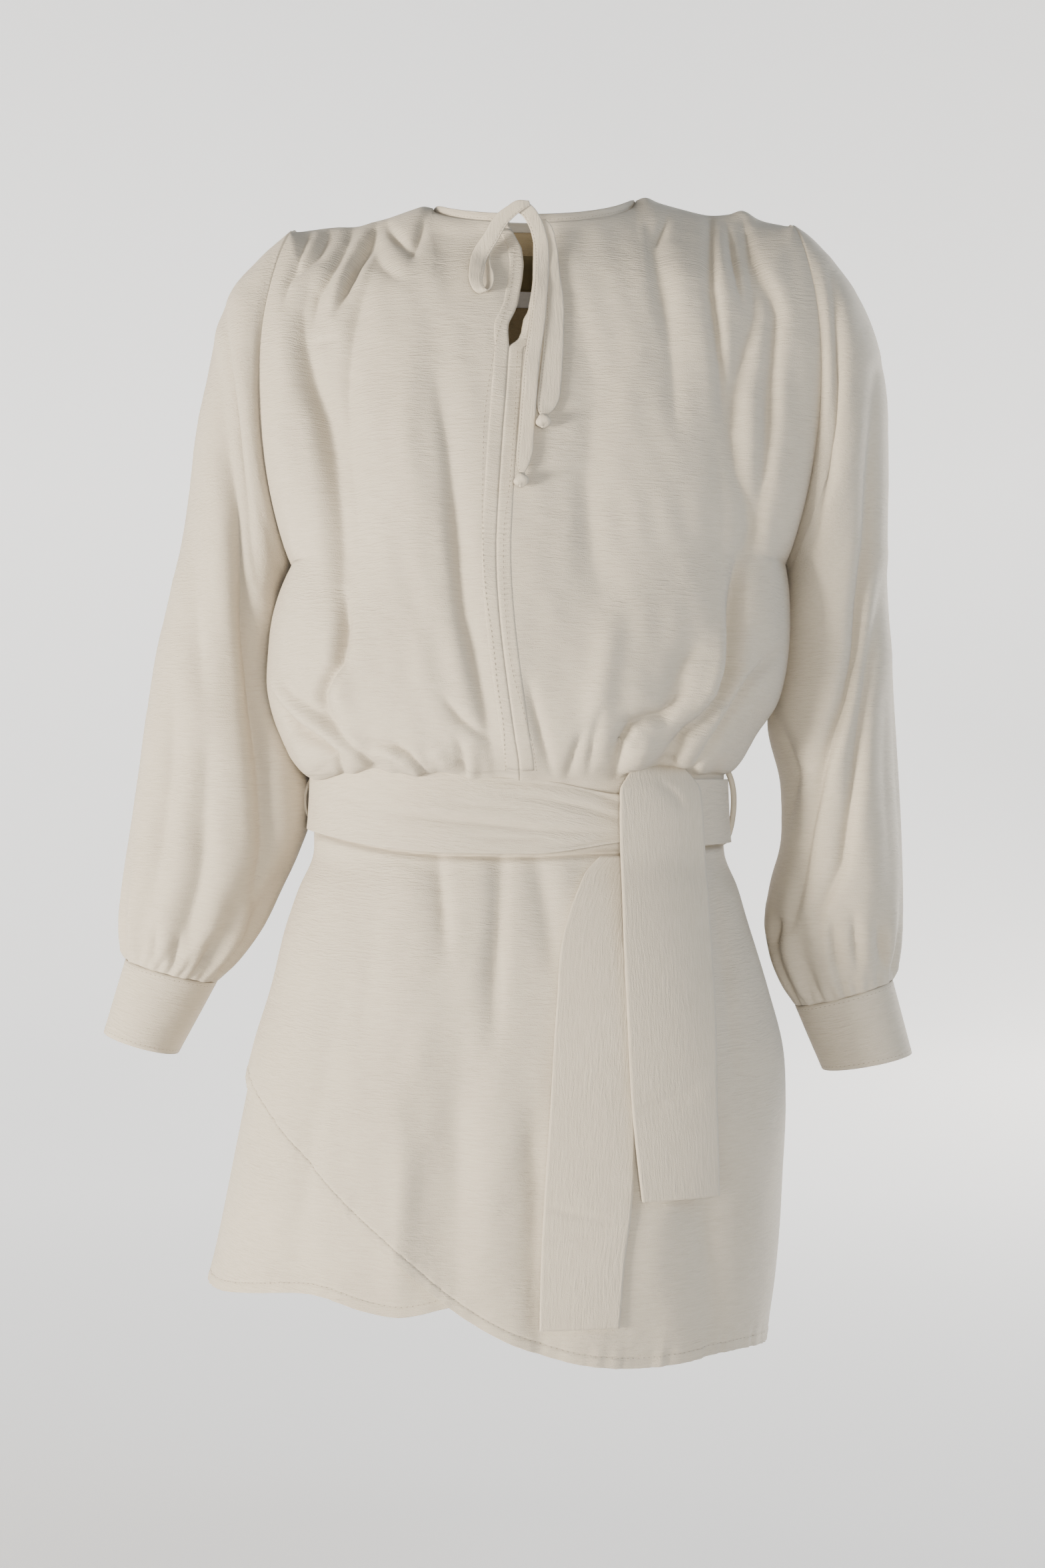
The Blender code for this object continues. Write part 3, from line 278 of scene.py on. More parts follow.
# Gathers round each cuff: uneven waves, by how many, how deep, how high they reach
GATHERS = 11
GATHER_DEPTH = 3.0 * MM
GATHER_REACH = 0.30
FINE_GATHER = 1.1 * MM

# Folds: half width, depth in (out where it is below 0) and skew, then places as seen from the front
FRONT_FOLDS = [
    (9, 6, -0.3, [(-100, -10), (-108, -34), (-122, -80), (-128, -130), (-126, -190), (-122, -240)]),
    (4.2, 9, -0.9, [(-105, -6), (-110, -16), (-119.7, -29), (-127, -44), (-135, -66)]),
    (4.5, 5, -0.5, [(-121, -8), (-126, -20), (-136, -36), (-148, -55), (-153, -76)]),
    (4.0, 4.5, -0.4, [(-137, -10), (-146, -27), (-159, -38), (-168, -46)]),
    (4.0, 4, 0.3, [(-151, -12), (-158, -27), (-167, -45), (-171, -64)]),
    (9, 11, -0.9, [(-153, -46), (-159, -68), (-159, -92), (-154.7, -118), (-147.4, -144), (-142.3, -176),
        (-138.6, -207), (-134.5, -245), (-133, -274), (-131.8, -300)]),
    (4.6, 9, -0.9, [(-131, -272), (-131, -298), (-134, -321), (-141, -331), (-145.2, -342), (-143, -352),
        (-135, -363)]),
    (8, -4, 0, [(-128, -322), (-131, -340), (-126, -356)]),
    (15, 5, -0.3, [(-138, -60), (-143, -90), (-138, -130), (-128, -180), (-122, -230), (-118, -280)]),
    (10, -3.5, 0, [(-172, -90), (-170, -150), (-164, -210), (-160, -270), (-162, -310)]),
    (3.0, 1.8, 0, [(-155, -90), (-146, -88), (-134, -86.5)]),
    (14, 4, 0.3, [(146, -110), (140, -160), (146, -210), (144, -260), (138, -300)]),
    (10, -3.5, 0, [(172, -215), (174, -250), (172, -285), (166, -310)]),
    (4.0, 4.5, 0.4, [(-98, -3), (-92, -12), (-85, -20), (-77, -27)]),
    (4.0, 4.5, -0.4, [(-70, -2), (-74, -14), (-80, -30)]),
    (5.0, 3, 0, [(-107, -20), (-101, -33), (-92, -42), (-82, -48)]),
    (13, -3, 0, [(-80, -70), (-84, -130), (-80, -190), (-72, -240)]),
    (8, 7, -0.8, [(-62, -118), (-55, -165), (-51, -208), (-48, -250), (-44, -285), (-36, -318), (-29, -350),
        (-24, -378), (-20, -400)]),
    (3.6, 4.5, 0.2, [(-56, -345), (-44, -359), (-33, -368), (-24, -374)]),
    (4.0, 3, 0, [(-47, -374), (-43, -384), (-40, -392)]),
    (6.5, -6.5, 0, [(-186, -318), (-179, -330), (-167, -346), (-149, -361), (-131, -374), (-115, -386),
        (-100, -394)]),
    (3.2, 8, -0.5, [(-182, -340), (-173, -350), (-163, -365), (-146, -374.5), (-133, -385), (-128, -398)]),
    (3.4, 5.5, 0.6, [(-170, -331), (-163, -342), (-146, -354), (-133.5, -365), (-120, -379), (-106, -388.5),
        (-96, -394)]),
    (11, -4.5, 0, [(-166, -372), (-155, -384), (-146, -396)]),
    (4.2, -4, 0, [(-108, -381), (-99, -382.5), (-90, -385.5), (-80, -392), (-70, -400)]),
    (2.6, 4.5, 0.5, [(-108, -374), (-100, -376.5), (-91, -378), (-81.5, -384), (-72, -394), (-68, -400)]),
    (6, -3, 0, [(-62, -380), (-56, -390), (-52, -399)]),
    (3, 4, 0, [(-46, -388), (-42, -394), (-40, -402)]),
    (9, 5, 0, [(89, 2), (93, -24), (98, -50), (104, -76), (108, -112), (110, -150)]),
    (3.4, 4, 0, [(103, -2), (100, -10), (95, -21)]),
    (4.6, 6.5, 0.6, [(134.5, 4), (135.5, -24), (137, -52), (141, -84), (144, -112), (145, -138)]),
    (3.8, 5, 0.4, [(146.5, -6), (150, -24), (154, -42), (157, -60)]),
    (8, 7, 0.35, [(159, 2), (162, -30), (167, -56), (167, -72), (160, -98), (153.5, -128), (152, -154), (156.5, -182),
        (164, -206), (166.5, -224), (161, -246), (156.5, -268), (154.5, -292), (152, -312), (148, -330)]),
    (4.6, 10, 0.9, [(158, -244), (155.9, -272), (154.4, -300), (152, -327), (145, -346), (133, -359.5), (119, -370),
        (109, -380.5), (101, -392), (97, -400)]),
    (7, -4, 0, [(146, -290), (143, -318), (134, -342), (120, -356)]),
    (5.6, 6, 0.8, [(158, -2), (165, -29), (171, -41), (180, -56), (183.5, -70), (181.5, -95), (179, -126),
        (177, -160), (175, -186), (171, -214), (167, -240)]),
    (4.0, 8, 0.8, [(194, -304), (176, -319.5), (164, -331.5), (152, -350.5), (140, -369.5), (129, -387),
        (119, -401)]),
    (5, -4, 0, [(168, -318), (157, -333), (147, -352), (133, -372), (122, -388)]),
    (2.8, 6, 0.4, [(123, -366), (116.5, -375), (111.5, -384), (105, -396)]),
    (8, 6, 0.3, [(128, -304), (117, -320), (109, -338), (103, -352)]),
    (4.2, 9, 0.6, [(118, -336), (111.5, -347), (102, -357.5), (90, -359.5), (79, -363.5), (72, -376), (69, -391),
        (68, -402)]),
    (7, -3.5, 0, [(92, -372), (84, -384), (80, -396)]),
    (10, -4, 0, [(64, -282), (58, -320), (53, -356), (49, -394)]),
    (4.4, 4.5, 0, [(4, -330), (8, -350), (14.2, -375), (22, -400)]),
    (3.4, 3.5, 0, [(44, -366), (38, -382), (32, -400)]),
    (4.0, 3.5, 0, [(56, -352), (51, -372), (47, -398)]),
    (15, 4, 0, [(40, -60), (52, -120), (46, -190), (52, -250), (64, -300)]),
]
BACK_FOLDS = [
    (7.5, 8.5, -0.4, [(-100, -6), (-112, -34), (-118, -66)]),
    (4.5, 5, 0.3, [(-86, -4), (-92, -22), (-100, -40)]),
    (5.5, 7, -0.6, [(-124, -10), (-132, -30), (-139, -62)]),
    (6, 7, -0.5, [(-148, -12), (-155, -32), (-161, -60)]),
    (9, 11, -0.8, [(-130, -26), (-146, -60), (-150, -110), (-140, -170), (-132, -230), (-136, -300), (-128, -360)]),
    (5.5, 6, 0.7, [(-172, -80), (-166, -130), (-160, -180), (-162, -230)]),
    (11, 7, 0.3, [(-60, -150), (-54, -210), (-40, -270), (-46, -340)]),
    (5, 6, 0.6, [(96, 0), (98, -24), (94, -58)]),
    (5, 6, -0.6, [(120, -4), (124, -28), (122, -64)]),
    (6, 7, 0.5, [(146, -4), (152, -30), (154, -62)]),
    (9, 11, 0.8, [(152, -24), (164, -70), (160, -120), (150, -170), (158, -220), (154, -290), (146, -350)]),
    (5.5, 6, -0.7, [(184, -76), (180, -120), (176, -170), (178, -214)]),
    (12, 7, -0.3, [(44, -140), (50, -200), (36, -270), (44, -350)]),
    (6, 7, 0.6, [(-176, -318), (-158, -344), (-136, -362), (-116, -384)]),
    (6, 7, -0.6, [(182, -316), (166, -342), (146, -360), (124, -384)]),
    (6, 7, 0.5, [(-100, -394), (-92, -366), (-98, -330)]),
    (4, 4.5, 0, [(-74, -396), (-68, -378), (-70, -360)]),
    (4.5, 5, 0, [(-44, -396), (-38, -374), (-42, -350)]),
    (6, 7, 0.4, [(-12, -394), (-6, -364), (-14, -326)]),
    (4, 4.5, 0, [(22, -396), (26, -380), (22, -362)]),
    (4.5, 5, 0, [(60, -396), (58, -374), (64, -350)]),
    (6, 7, -0.5, [(92, -394), (86, -362), (94, -330)]),
    (6, 7, 0.5, [(140, -392), (132, -366), (140, -338)]),
]
SKIRT_FOLDS = [
    (7, 6.5, 0.7, [(-12.5, -450), (-14.5, -478), (-16, -512), (-18, -548), (-20, -590)]),
    (5.5, 4.5, 0.4, [(-60, -450), (-58.6, -470), (-55.5, -500), (-54, -530)]),
    (8, 3, -0.3, [(8, -452), (16, -490), (22, -540)]),
    (12, 2.5, 0, [(-96, -450), (-104, -500), (-112, -560), (-116, -610)]),
    (22, 7, 0.3, [(-44, -570), (-46, -640), (-46, -720), (-48, -800)]),
    (16, 5, 0, [(118, -600), (128, -680), (136, -760), (138, -830)]),
    (7, 3.5, 0.4, [(136, -450), (141, -500), (148, -560), (152, -620)]),
    (14, 5, 0, [(-120, -520), (-134, -580), (-150, -650), (-160, -720), (-166, -790)]),
    (14, 6, -0.3, [(4, -620), (10, -700), (10, -830)]),
    (9, -3, 0, [(-84, -640), (-86, -720), (-90, -790)]),
]
SKIRT_BACK_FOLDS = [
    (8, 7, 0.5, [(-60, -430), (-62, -480), (-66, -540)]),
    (6, 5, -0.4, [(-104, -430), (-108, -470), (-114, -520)]),
    (6, 5, 0, [(-10, -430), (-10, -466), (-12, -506)]),
    (8, 7, -0.5, [(40, -430), (44, -490), (46, -550)]),
    (6, 5, 0.4, [(92, -430), (98, -474), (104, -524)]),
    (16, 9, 0.3, [(-96, -540), (-104, -620), (-110, -700), (-112, -800)]),
    (16, 7, 0, [(0, -560), (4, -640), (2, -720), (-2, -800)]),
    (16, 9, -0.3, [(104, -540), (112, -620), (116, -700), (112, -810)]),
    (10, -3, 0, [(-54, -600), (-56, -700), (-58, -800)]),
    (10, -3, 0, [(56, -600), (60, -700), (60, -800)]),
]
SLEEVE_FOLDS = {
    "right": [
        (4.5, 6, 0.3, [(-212, -66), (-212, -80), (-210.4, -109), (-205.7, -151), (-198, -197), (-191.5, -236),
            (-187, -262)]),
        (8, 13, -0.5, [(-222, -96), (-218.6, -133), (-216, -171.5), (-208.3, -210), (-203, -249), (-198, -288),
            (-193, -326), (-189.7, -370), (-187.5, -393), (-184.6, -453), (-190.5, -486), (-195, -524)]),
        (9, 5, 0, [(-236, -190), (-238, -250), (-232, -310), (-228, -350)]),
        (10, 7, 0.3, [(-225, -372), (-227, -420), (-227.7, -457.5), (-232, -486), (-238, -507), (-238, -540)]),
        (9, 7, 0, [(-250, -330), (-253, -390), (-260, -450), (-268, -505)]),
        (4, 4, 0, [(-262, -505), (-263, -536)]),
        (3.6, 4, 0, [(-246, -514), (-251, -538)]),
        (3.6, 4, 0, [(-221, -516), (-232, -543)]),
        (4, 4.5, 0, [(-198, -524), (-206, -534), (-218, -545)]),
    ],
    "left": [
        (4.6, 6, 0.2, [(220, -40), (224, -62), (225.5, -90), (226, -120), (224.3, -151), (219, -184), (214, -210),
            (208, -238)]),
        (5, 9, 0.8, [(254, -112), (252.8, -160), (251.4, -197), (249.6, -236), (243.7, -275), (239.8, -313),
            (232, -347), (224, -370), (214, -400), (205, -446), (199, -482), (192, -510)]),
        (6, 8, 0.5, [(260, -258), (255, -290), (251, -314), (245, -352), (239.5, -393), (232, -444), (229, -464),
            (214, -495), (212.7, -515), (215, -536)]),
        (10, 5, 0, [(262, -330), (262, -380), (264, -430), (266, -490)]),
        (3.8, 4.5, 0, [(221, -502), (225, -540)]),
        (3.8, 4.5, 0, [(237, -498), (240, -540)]),
        (3.8, 4.5, 0, [(254, -506), (261, -546)]),
        (5, 5, 0, [(180, -354), (188, -378), (196, -398), (192, -420), (187, -440)]),
        (4, 4.5, 0, [(184, -500), (179, -522)]),
    ],
}
SLEEVE_BACK_FOLDS = {
    "right": [
        (9, 10, 0.6, [(-212, -80), (-206, -130), (-198, -190), (-194, -240)]),
        (9, 12, -0.5, [(-236, -150), (-230, -230), (-222, -310), (-214, -390), (-206, -470)]),
        (8, 8, 0.4, [(-250, -330), (-254, -400), (-258, -470)]),
        (5, 5, 0, [(-228, -60), (-226, -110), (-218, -170)]),
        (4.5, 5, 0, [(-250, -490), (-256, -534)]),
        (4.5, 5, 0, [(-226, -496), (-236, -540)]),
    ],
    "left": [
        (9, 10, -0.6, [(232, -80), (224, -130), (216, -190), (212, -240)]),
        (9, 12, 0.5, [(250, -150), (240, -230), (232, -310), (224, -390), (214, -470)]),
        (8, 8, -0.4, [(258, -330), (256, -400), (250, -470)]),
        (5, 5, 0, [(226, -56), (226, -110), (220, -160)]),
        (4.5, 5, 0, [(246, -500), (252, -544)]),
        (4.5, 5, 0, [(218, -500), (222, -544)]),
    ],
}

# Belt edges by place round the front: x, top and bottom
BELT_EDGE = table("x top bottom", [
    (-152, -398, -437), (-120, -392.5, -444), (-90, -392.5, -449), (-55, -397, -451.8), (-25, -400.8, -452.3),
    (0, -402, -452.5), (50, -402.6, -451), (90, -402.6, -449.5), (146, -402.6, -447)])
# Belt ends: height, left and right edge, and how far they stand off the skirt
END_SHORT = table("z left right clear", [
    (-392.8, 82, 100, -1.5), (-394.6, 77, 106.5, 3), (-398, 72, 112, 6), (-402.4, 69, 115.5, 8),
    (-406, 66.5, 118.5, 9.5), (-420, 65, 121.5, 12), (-440, 65, 123, 11.5), (-470, 66, 125, 8.6),
    (-510, 67, 127, 6.4), (-560, 69, 129, 5.2), (-620, 72, 129.5, 5.2), (-660, 76, 130.5, 5.2),
    (-680, 78.5, 131, 5.2)])
END_LONG = table("z left right clear", [
    (-454, 52, 92, 2.4), (-462, 44, 88, 2.4), (-478, 36, 84, 2.4), (-505, 27, 79, 2.4), (-550, 22.5, 77, 2.4),
    (-620, 18, 74, 2.4), (-680, 14, 72, 2.4), (-720, 12, 67, 2.4), (-762, 11, 63.5, 2.4)])
# A belt loop from its upper end over the belt to its lower end: how far out, and the height
LOOP_PATH = {
    "right": table("out z", [
        (-1, -400), (2.5, -402), (5.2, -407), (6.8, -413), (7.2, -419), (6.2, -425), (4.4, -428.5), (2.4, -430),
        (-1, -430.5)]),
    "left": table("out z", [
        (-2, -394.5), (1.5, -395.5), (4.6, -399.5), (7.2, -409), (7.8, -420), (6.8, -431), (4.8, -440), (2.4, -445.5),
        (-1, -448)])}
# Half its thickness as seen from the front, half its width, and where it lies in y
LOOP_HALF = {"right": 1.3 * MM, "left": 2.1 * MM}
LOOP_HALF_WIDE = 2.3 * MM
LOOP_Y = -6.0 * MM

# Tie pieces: places of their middle line as seen from the front, and how far off the bodice
TIE_LOOP = [
    ((4.6, 10.6, 9.4), (5.6, 6.5, 8.6)), ((-2.5, 11.2, 10.8), (2.0, 5.0, 10.0)),
    ((-11.5, 6.4, 10.5), (-5.0, -0.2, 9.3)), ((-18.9, 0.8, 9.8), (-10.3, -5.5, 8.8)),
    ((-27.1, -12.2, 9), (-17.6, -17.8, 8.2)),
    ((-34.7, -23.8, 8.5), (-24.4, -29.3, 7.6)), ((-38.1, -37.5, 8.2), (-27.6, -40.6, 8.0)),
    ((-37.4, -48.4, 7.8), (-28.2, -48.6, 8.6)), ((-34.2, -54.0, 6.4), (-26.6, -51.8, 8.4)),
    ((-31.5, -55.6, 4.4), (-25.2, -53.0, 7.9)), ((-28.5, -53.5, 3.2), (-22.6, -52.0, 7.2)),
    ((-26.0, -50.0, 2.8), (-20.8, -48.6, 6.6)), ((-25.8, -43.5, 2.6), (-20.4, -42.4, 6.2)),
    ((-26.5, -35, 2.6), (-22.8, -34, 5.6)), ((-26, -24, 2.5), (-23.0, -23, 5.0)), ((-19, -10, 2.5), (-16, -9.5, 4.8))]
TIE_TAIL_LONG = [
    ((-3.5, 2.5, 7.8), (3.0, 10.4, 8.8)), ((0.6, -1.2, 7.6), (8.4, 5.6, 8.4)), ((4.3, -7.4, 7), (12.8, -1.2, 7.6)),
    ((7.7, -19.7, 6.6), (17.6, -15.2, 7)), ((8.6, -36.1, 6.4), (19.0, -34.0, 6.8)),
    ((7.4, -55.2, 6.4), (17.9, -55.0, 6.8)), ((4.6, -81.2, 6.2), (15.6, -81.2, 6.6)),
    ((1.5, -101.7, 6), (12.5, -101.7, 6.4)), ((-0.9, -129, 5.6), (10.3, -129, 6)),
    ((-3.0, -156.4, 5.2), (8.2, -156.4, 5.6)), ((-4.2, -172, 5), (6.6, -172, 5.4)), ((-3.6, -179, 5), (3.6, -180, 5.2)),
    ((-2.2, -183.5, 5.2), (1.2, -184, 5.2))]
TIE_TAIL_SHORT = [
    ((7, -4, 4.6), (16.4, -2.6, 5)), ((11, -10, 4.6), (20.7, -7.4, 5)), ((14, -22, 4.6), (24.1, -19.7, 5)),
    ((16, -42, 4.4), (26.8, -41.6, 4.8)), ((16.5, -61, 4.2), (29.4, -60.7, 4.6)), ((15.5, -81, 4), (29.6, -81, 4.4)),
    ((13.6, -101.7, 4), (28.9, -101.7, 4.4)), ((11.2, -122, 4.2), (27.5, -122.2, 4.6)),
    ((10.2, -133, 4.6), (25.8, -132.5, 4.8)), ((10.6, -138, 4.9), (22.6, -138.4, 5)),
    ((12.2, -141.6, 5.4), (18.4, -142.2, 5.4))]
BALL_LONG = (-1, -188.8, 6.4)
BALL_SHORT = (14.8, -146.6, 6.4)
BALL_RADIUS = 5.2 * MM
# A ball's length as a share of its width, its grain, and how near its poles the first ring is
BALL_FLAT = 0.92
BALL_ROWS = 28
BALL_COLUMNS = 36
BALL_TIP = 0.02
# The pinched neck between ball and tail: share of the way up, half width and half thickness in mm
BALL_NECK = [(0.0, 2.6, 2.2), (0.35, 2.2, 1.6), (0.7, 2.4, 1.2), (1.0, 2.4, 0.6)]
NECK_START = 0.75

# The highest place that is looked up on the front, and the steps to the side that find it across the slit
NECK_LIMIT = -27 * MM
SLIT_STEPS = [0, 4 * MM, -4 * MM, 8 * MM, -8 * MM, 12 * MM, -12 * MM, 16 * MM, -16 * MM]

# Inside back neck: left, right, bottom and top
LABEL = (-20 * MM, 28 * MM, -38 * MM, -14 * MM)
TAG = (-8 * MM, 16 * MM, -50 * MM, -39 * MM)
LABEL_WALL = 0.5 * MM
LABEL_CLEAR = 2.0 * MM
LABEL_COLUMNS = 12
LABEL_ROWS = 8
# How far below the neckband's top its stitches run
NECK_STITCH = 4.2 * MM

# How far up and down the armhole's corner is blurred for the cloth further in
EDGE_BLUR = 45 * MM
NECK_BLUR = 22 * MM

# How far the left front runs on under the right one, and where the slit ends
UNDERLAP = 2.6 * MM
SLIT_END = (88 * MM, 96 * MM)

# Grain of the fine grids
TOP_ROWS = 9
NECK_COLUMNS = 34
SHOULDER_COLUMNS = 92
BODY_ROWS = 150
CURL_ROWS = 44
SLEEVE_COLUMNS = 132
SLEEVE_ROWS = 130
SLEEVE_LOW_ROWS = 50
SLEEVE_LOW = 0.8
CUFF_COLUMNS = 110
CUFF_ROWS = 26
PLACKET_COLUMNS = 9
PLACKET_ROWS = 150
BAND_COLUMNS = 240
BAND_ROWS = 12
BELT_COLUMNS = 240
BELT_ROWS = 36
END_COLUMNS = 34
END_ROWS = 150
LOOP_ROWS = 40
TUBE_COLUMNS = 12
RIBBON_COLUMNS = 25

# How far the knot pulls the belt's top edge down and its bottom edge up
BELT_DIP = 11 * MM
BELT_RISE = 5.5 * MM
# Where in x the pull ends beside the knot, and where it starts at the top and at the bottom
KNOT_PLACE = (84 * MM, 110 * MM)
DIP_FROM = (0, 76 * MM)
RISE_FROM = (10 * MM, 72 * MM)
# How far the belt bulges, how far its lower edge stands off, and depth, width and place of the hollow under it
BELT_BELLY = 0.6 * MM
BELT_STAND = 2.4 * MM
BELT_HOLLOW = 5.0 * MM
HOLLOW_WIDTH = 2.6 * MM
HOLLOW_DROP = 1.4 * MM
# Folds of the belt and of its two ends, as seen from the front
BELT_FOLDS = [
    (3.4, 2.4, 0.7, [(-110, -424), (-60, -430), (-20, -434), (20, -438.5), (50, -439.5), (76, -439)]),
    (2.6, 1.9, 0.6, [(-30, -402.5), (10, -404.5), (42, -409), (62, -415), (76, -422)]),
    (2.6, 1.7, 0.6, [(-14, -414), (20, -417), (48, -423), (74, -431)]),
    (2.4, 2.0, -0.6, [(20, -452), (44, -449.5), (62, -445), (76, -441)]),
    (2.2, 1.2, 0, [(-64, -419), (-30, -421), (4, -425)]),
    (2.2, 1.1, 0, [(-140, -415), (-118, -418), (-96, -419)]),
    (2.4, 1.3, 0, [(-40, -443), (-10, -445), (22, -446)]),
]
BELT_BACK_FOLDS = [
    (2.8, 1.7, 0.5, [(-132, -410), (-74, -417), (-6, -414)]),
    (2.6, 1.5, -0.5, [(-64, -434), (4, -431), (82, -436)]),
    (2.4, 1.3, 0, [(38, -409), (88, -414), (132, -410)]),
    (2.4, 1.3, 0.4, [(-120, -430), (-92, -433), (-60, -431)]),
]
END_SHORT_FOLDS = [
    (3.0, 1.4, 0.6, [(98, -404), (110, -414), (116, -424)]),
    (3.5, 1.6, 0.8, [(70, -642), (95, -634), (126, -622)]),
    (2.5, 1.0, -0.6, [(72, -652), (98, -643), (126, -633)]),
]
END_LONG_FOLDS = [
    (4.0, 1.6, 0.5, [(80, -462), (78, -490), (76, -520)]),
    (2.5, 1.0, 0.6, [(14, -706), (34, -712), (60, -716)]),
    (2.5, 1.0, 0.6, [(12, -732), (40, -728), (66, -724)]),
]
# Rows of stitches beside the centre front, as seen from the front
STITCH_RIGHT = [
    (-5.5, -23.7), (-6.2, -34.9), (-7.6, -48.9), (-12.5, -68.4), (-18, -86.5), (-23.6, -117.3), (-27.1, -145.2),
    (-28.1, -184.3), (-28.5, -206.6), (-28, -240), (-25.2, -274.5), (-21.3, -301), (-17.3, -337.7), (-13.4, -363),
    (-11.8, -396)]
STITCH_LEFT = [
    (-3.5, -96), (-4.5, -120), (-6, -150), (-9, -190), (-13, -225), (-13.5, -250), (-12.6, -274.5), (-7, -325),
    (1.6, -358), (6.3, -375.5), (10, -396)]
# Half the tie's thickness, and its row of stitches: place and dent as shares of its half width, depth, and height
TIE_HALF_WALL = 0.62 * MM
TIE_STITCH = -0.76
DENT_WIDTH = 0.12
TIE_DENT = 0.22 * MM
TIE_STITCH_OUT = 0.55 * MM

# Crinkled cloth: how many features a metre across and down the cloth, and how strong they are
WANDER = (38, 60)
WANDER_REACH = 3.5 * MM
LINES = (75, 620)
SHORT_LINES = (260, 900)
SHORT_SHARE = 0.4
PATCHES = (16, 26)
WEAVE = (1500, 1500)
WEAVE_SHARE = 0.22
MOTTLE = (9, 9)
MOTTLE_SHARE = 0.45
CRINKLE = 0.9
CRINKLE_HEIGHT = 1.1 * MM
LENGTHWISE_CRINKLE = 0.6
ROUGHNESS = 0.82
SHEEN = 0.12
SHEEN_ROUGHNESS = 0.5
# Colours: the cloth's own colour and a paler one, painted on the tops of its crinkle lines as a highlight and in
# random mottled patches; a darker, browner pair for the inside of the back, painted as its deep shade; the stitches,
# darker than their pale yarn as painted shade of the holes they sit in; label and tag
CLOTH_COLOURS = (0.385, 0.335, 0.26), (0.47, 0.415, 0.33)
SHADED_INSIDE_COLOURS = (0.30, 0.22, 0.11), (0.36, 0.27, 0.15)
SHADED_THREAD_COLOUR = (0.27, 0.235, 0.185)
OLIVE_COLOUR = (0.17, 0.125, 0.05)
WHITE_COLOUR = (0.75, 0.70, 0.64)

# Studio: lens for the photo's view, floor, wall, and each light's place, size, power and colour
SENSOR = 36
LENS = SENSOR * 2679 / 2000
CLIP_START = 0.01
FLOOR_Z = -0.97
STAGE_RADIUS = 4.6
STAGE_ROUND = 1.4
STAGE_HEIGHT = 3.2
STAGE_STEPS = 12
STAGE_SIDES = 72
GLOW = 0.6
DIM_GLOW = 0.03
DIM_WALL = 0.22
# In front of the dress, from one y to another, the paper is dim, on the floor less than above this height
DIM_FROM = 1.4
DIM_TO = -0.8
DIM_HEIGHT = 0.6
DIM_FLOOR = 0.55
SKY = (0.60, 0.80, 1.0, 1)
SKY_STRENGTH = 0.10
LIGHTS_AIM = (0, 0, -0.42)
LIGHTS = [
    ("key", (-2.4, -1.5, -0.80), 0.8, 318, (1.0, 0.92, 0.80)),
    ("front", (0.3, -3.0, -0.25), 0.8, 66, (1.0, 0.95, 0.87)),
    ("fill", (2.4, -0.6, 0.6), 1.4, 26, (0.40, 0.66, 1.0)),
    ("rear", (2.6, 2.6, 0.5), 1.2, 150, (1.0, 0.93, 0.84)),
]


def unit(vectors, least=1e-12):
    """Vectors brought to a length of 1. One with no length stays as it is."""
    return vectors / np.maximum(np.linalg.norm(vectors, axis=-1, keepdims=True), least)


def around(count, start=0.0):
    """Angles spaced evenly round a whole turn."""
    return np.linspace(start, start + TURN, count, endpoint=False)


def distances(line):
    """How far along a line of points each of them is."""
    return np.concatenate([[0], np.cumsum(np.linalg.norm(np.diff(line, axis=0), axis=-1))])


def matched(first, second):
    """Two arrays of numbers brought to one shape."""
    return np.asarray(first, float) + 0 * second, np.asarray(second, float) + 0 * first


def seen(points):
    """Where the line from the eye through each point meets the plane y = 0, as x and z."""
    scale = EYE_DISTANCE / (EYE_DISTANCE + points[..., 1])
    return points[..., 0] * scale, EYE_HEIGHT + (points[..., 2] - EYE_HEIGHT) * scale


def unseen(x, z, y):
    """The x and z of a point at depth y that is seen at x and z on the plane y = 0."""
    scale = (EYE_DISTANCE + y) / EYE_DISTANCE
    return x * scale, EYE_HEIGHT + (z - EYE_HEIGHT) * scale


def fold_depth(x, z, folds):
    """How far the folds push the cloth in at each place. A fold fades out at its two ends.

    A skewed fold, looked at down its line, has its valley towards the left and a roll on its right.
    """
    total = np.zeros(np.shape(x))
    for half_width, depth, skew, places in folds:
        line = np.array(places) * MM
        lengths = np.hypot(*np.diff(line, axis=0).T)
        along = np.concatenate([[0], np.cumsum(lengths)]) / lengths.sum()
        nearest = np.full(np.shape(x), np.inf)
        place = np.zeros(np.shape(x))
        beside = np.zeros(np.shape(x))
        for i, length in enumerate(lengths):
            step = (line[i + 1] - line[i]) / length
            run = np.clip((x - line[i, 0]) * step[0] + (z - line[i, 1]) * step[1], 0, length)
            off = np.hypot(x - line[i, 0] - run * step[0], z - line[i, 1] - run * step[1])
            closer = off < nearest
            nearest = np.where(closer, off, nearest)
            turned = (x - line[i, 0]) * step[1] - (z - line[i, 1]) * step[0]
            beside = np.where(closer, turned, beside)
            place = np.where(closer, along[i] + (along[i + 1] - along[i]) * run / length, place)
        strength = np.sin(math.pi * np.clip(place * 0.9 + 0.05, 0, 1)) ** 0.8
        across = np.clip(beside / (half_width * MM), -2, 2)
        crisp = 1.45 if depth > 0 else 2
        valley = np.exp(-((nearest / (half_width * MM)) ** crisp)) * (1 + skew * across)
        total = total + depth * MM * strength * valley
    return total


def swells(x, z, seed):
    """Soft uneven swells of loose cloth, by their place on it."""
    return (undulation(x, z, seed, *WIDE_SWELL) + undulation(x, z, seed + 40, *SMALL_SWELL)
            + undulation(z, x, seed + 80, *RIPPLE))


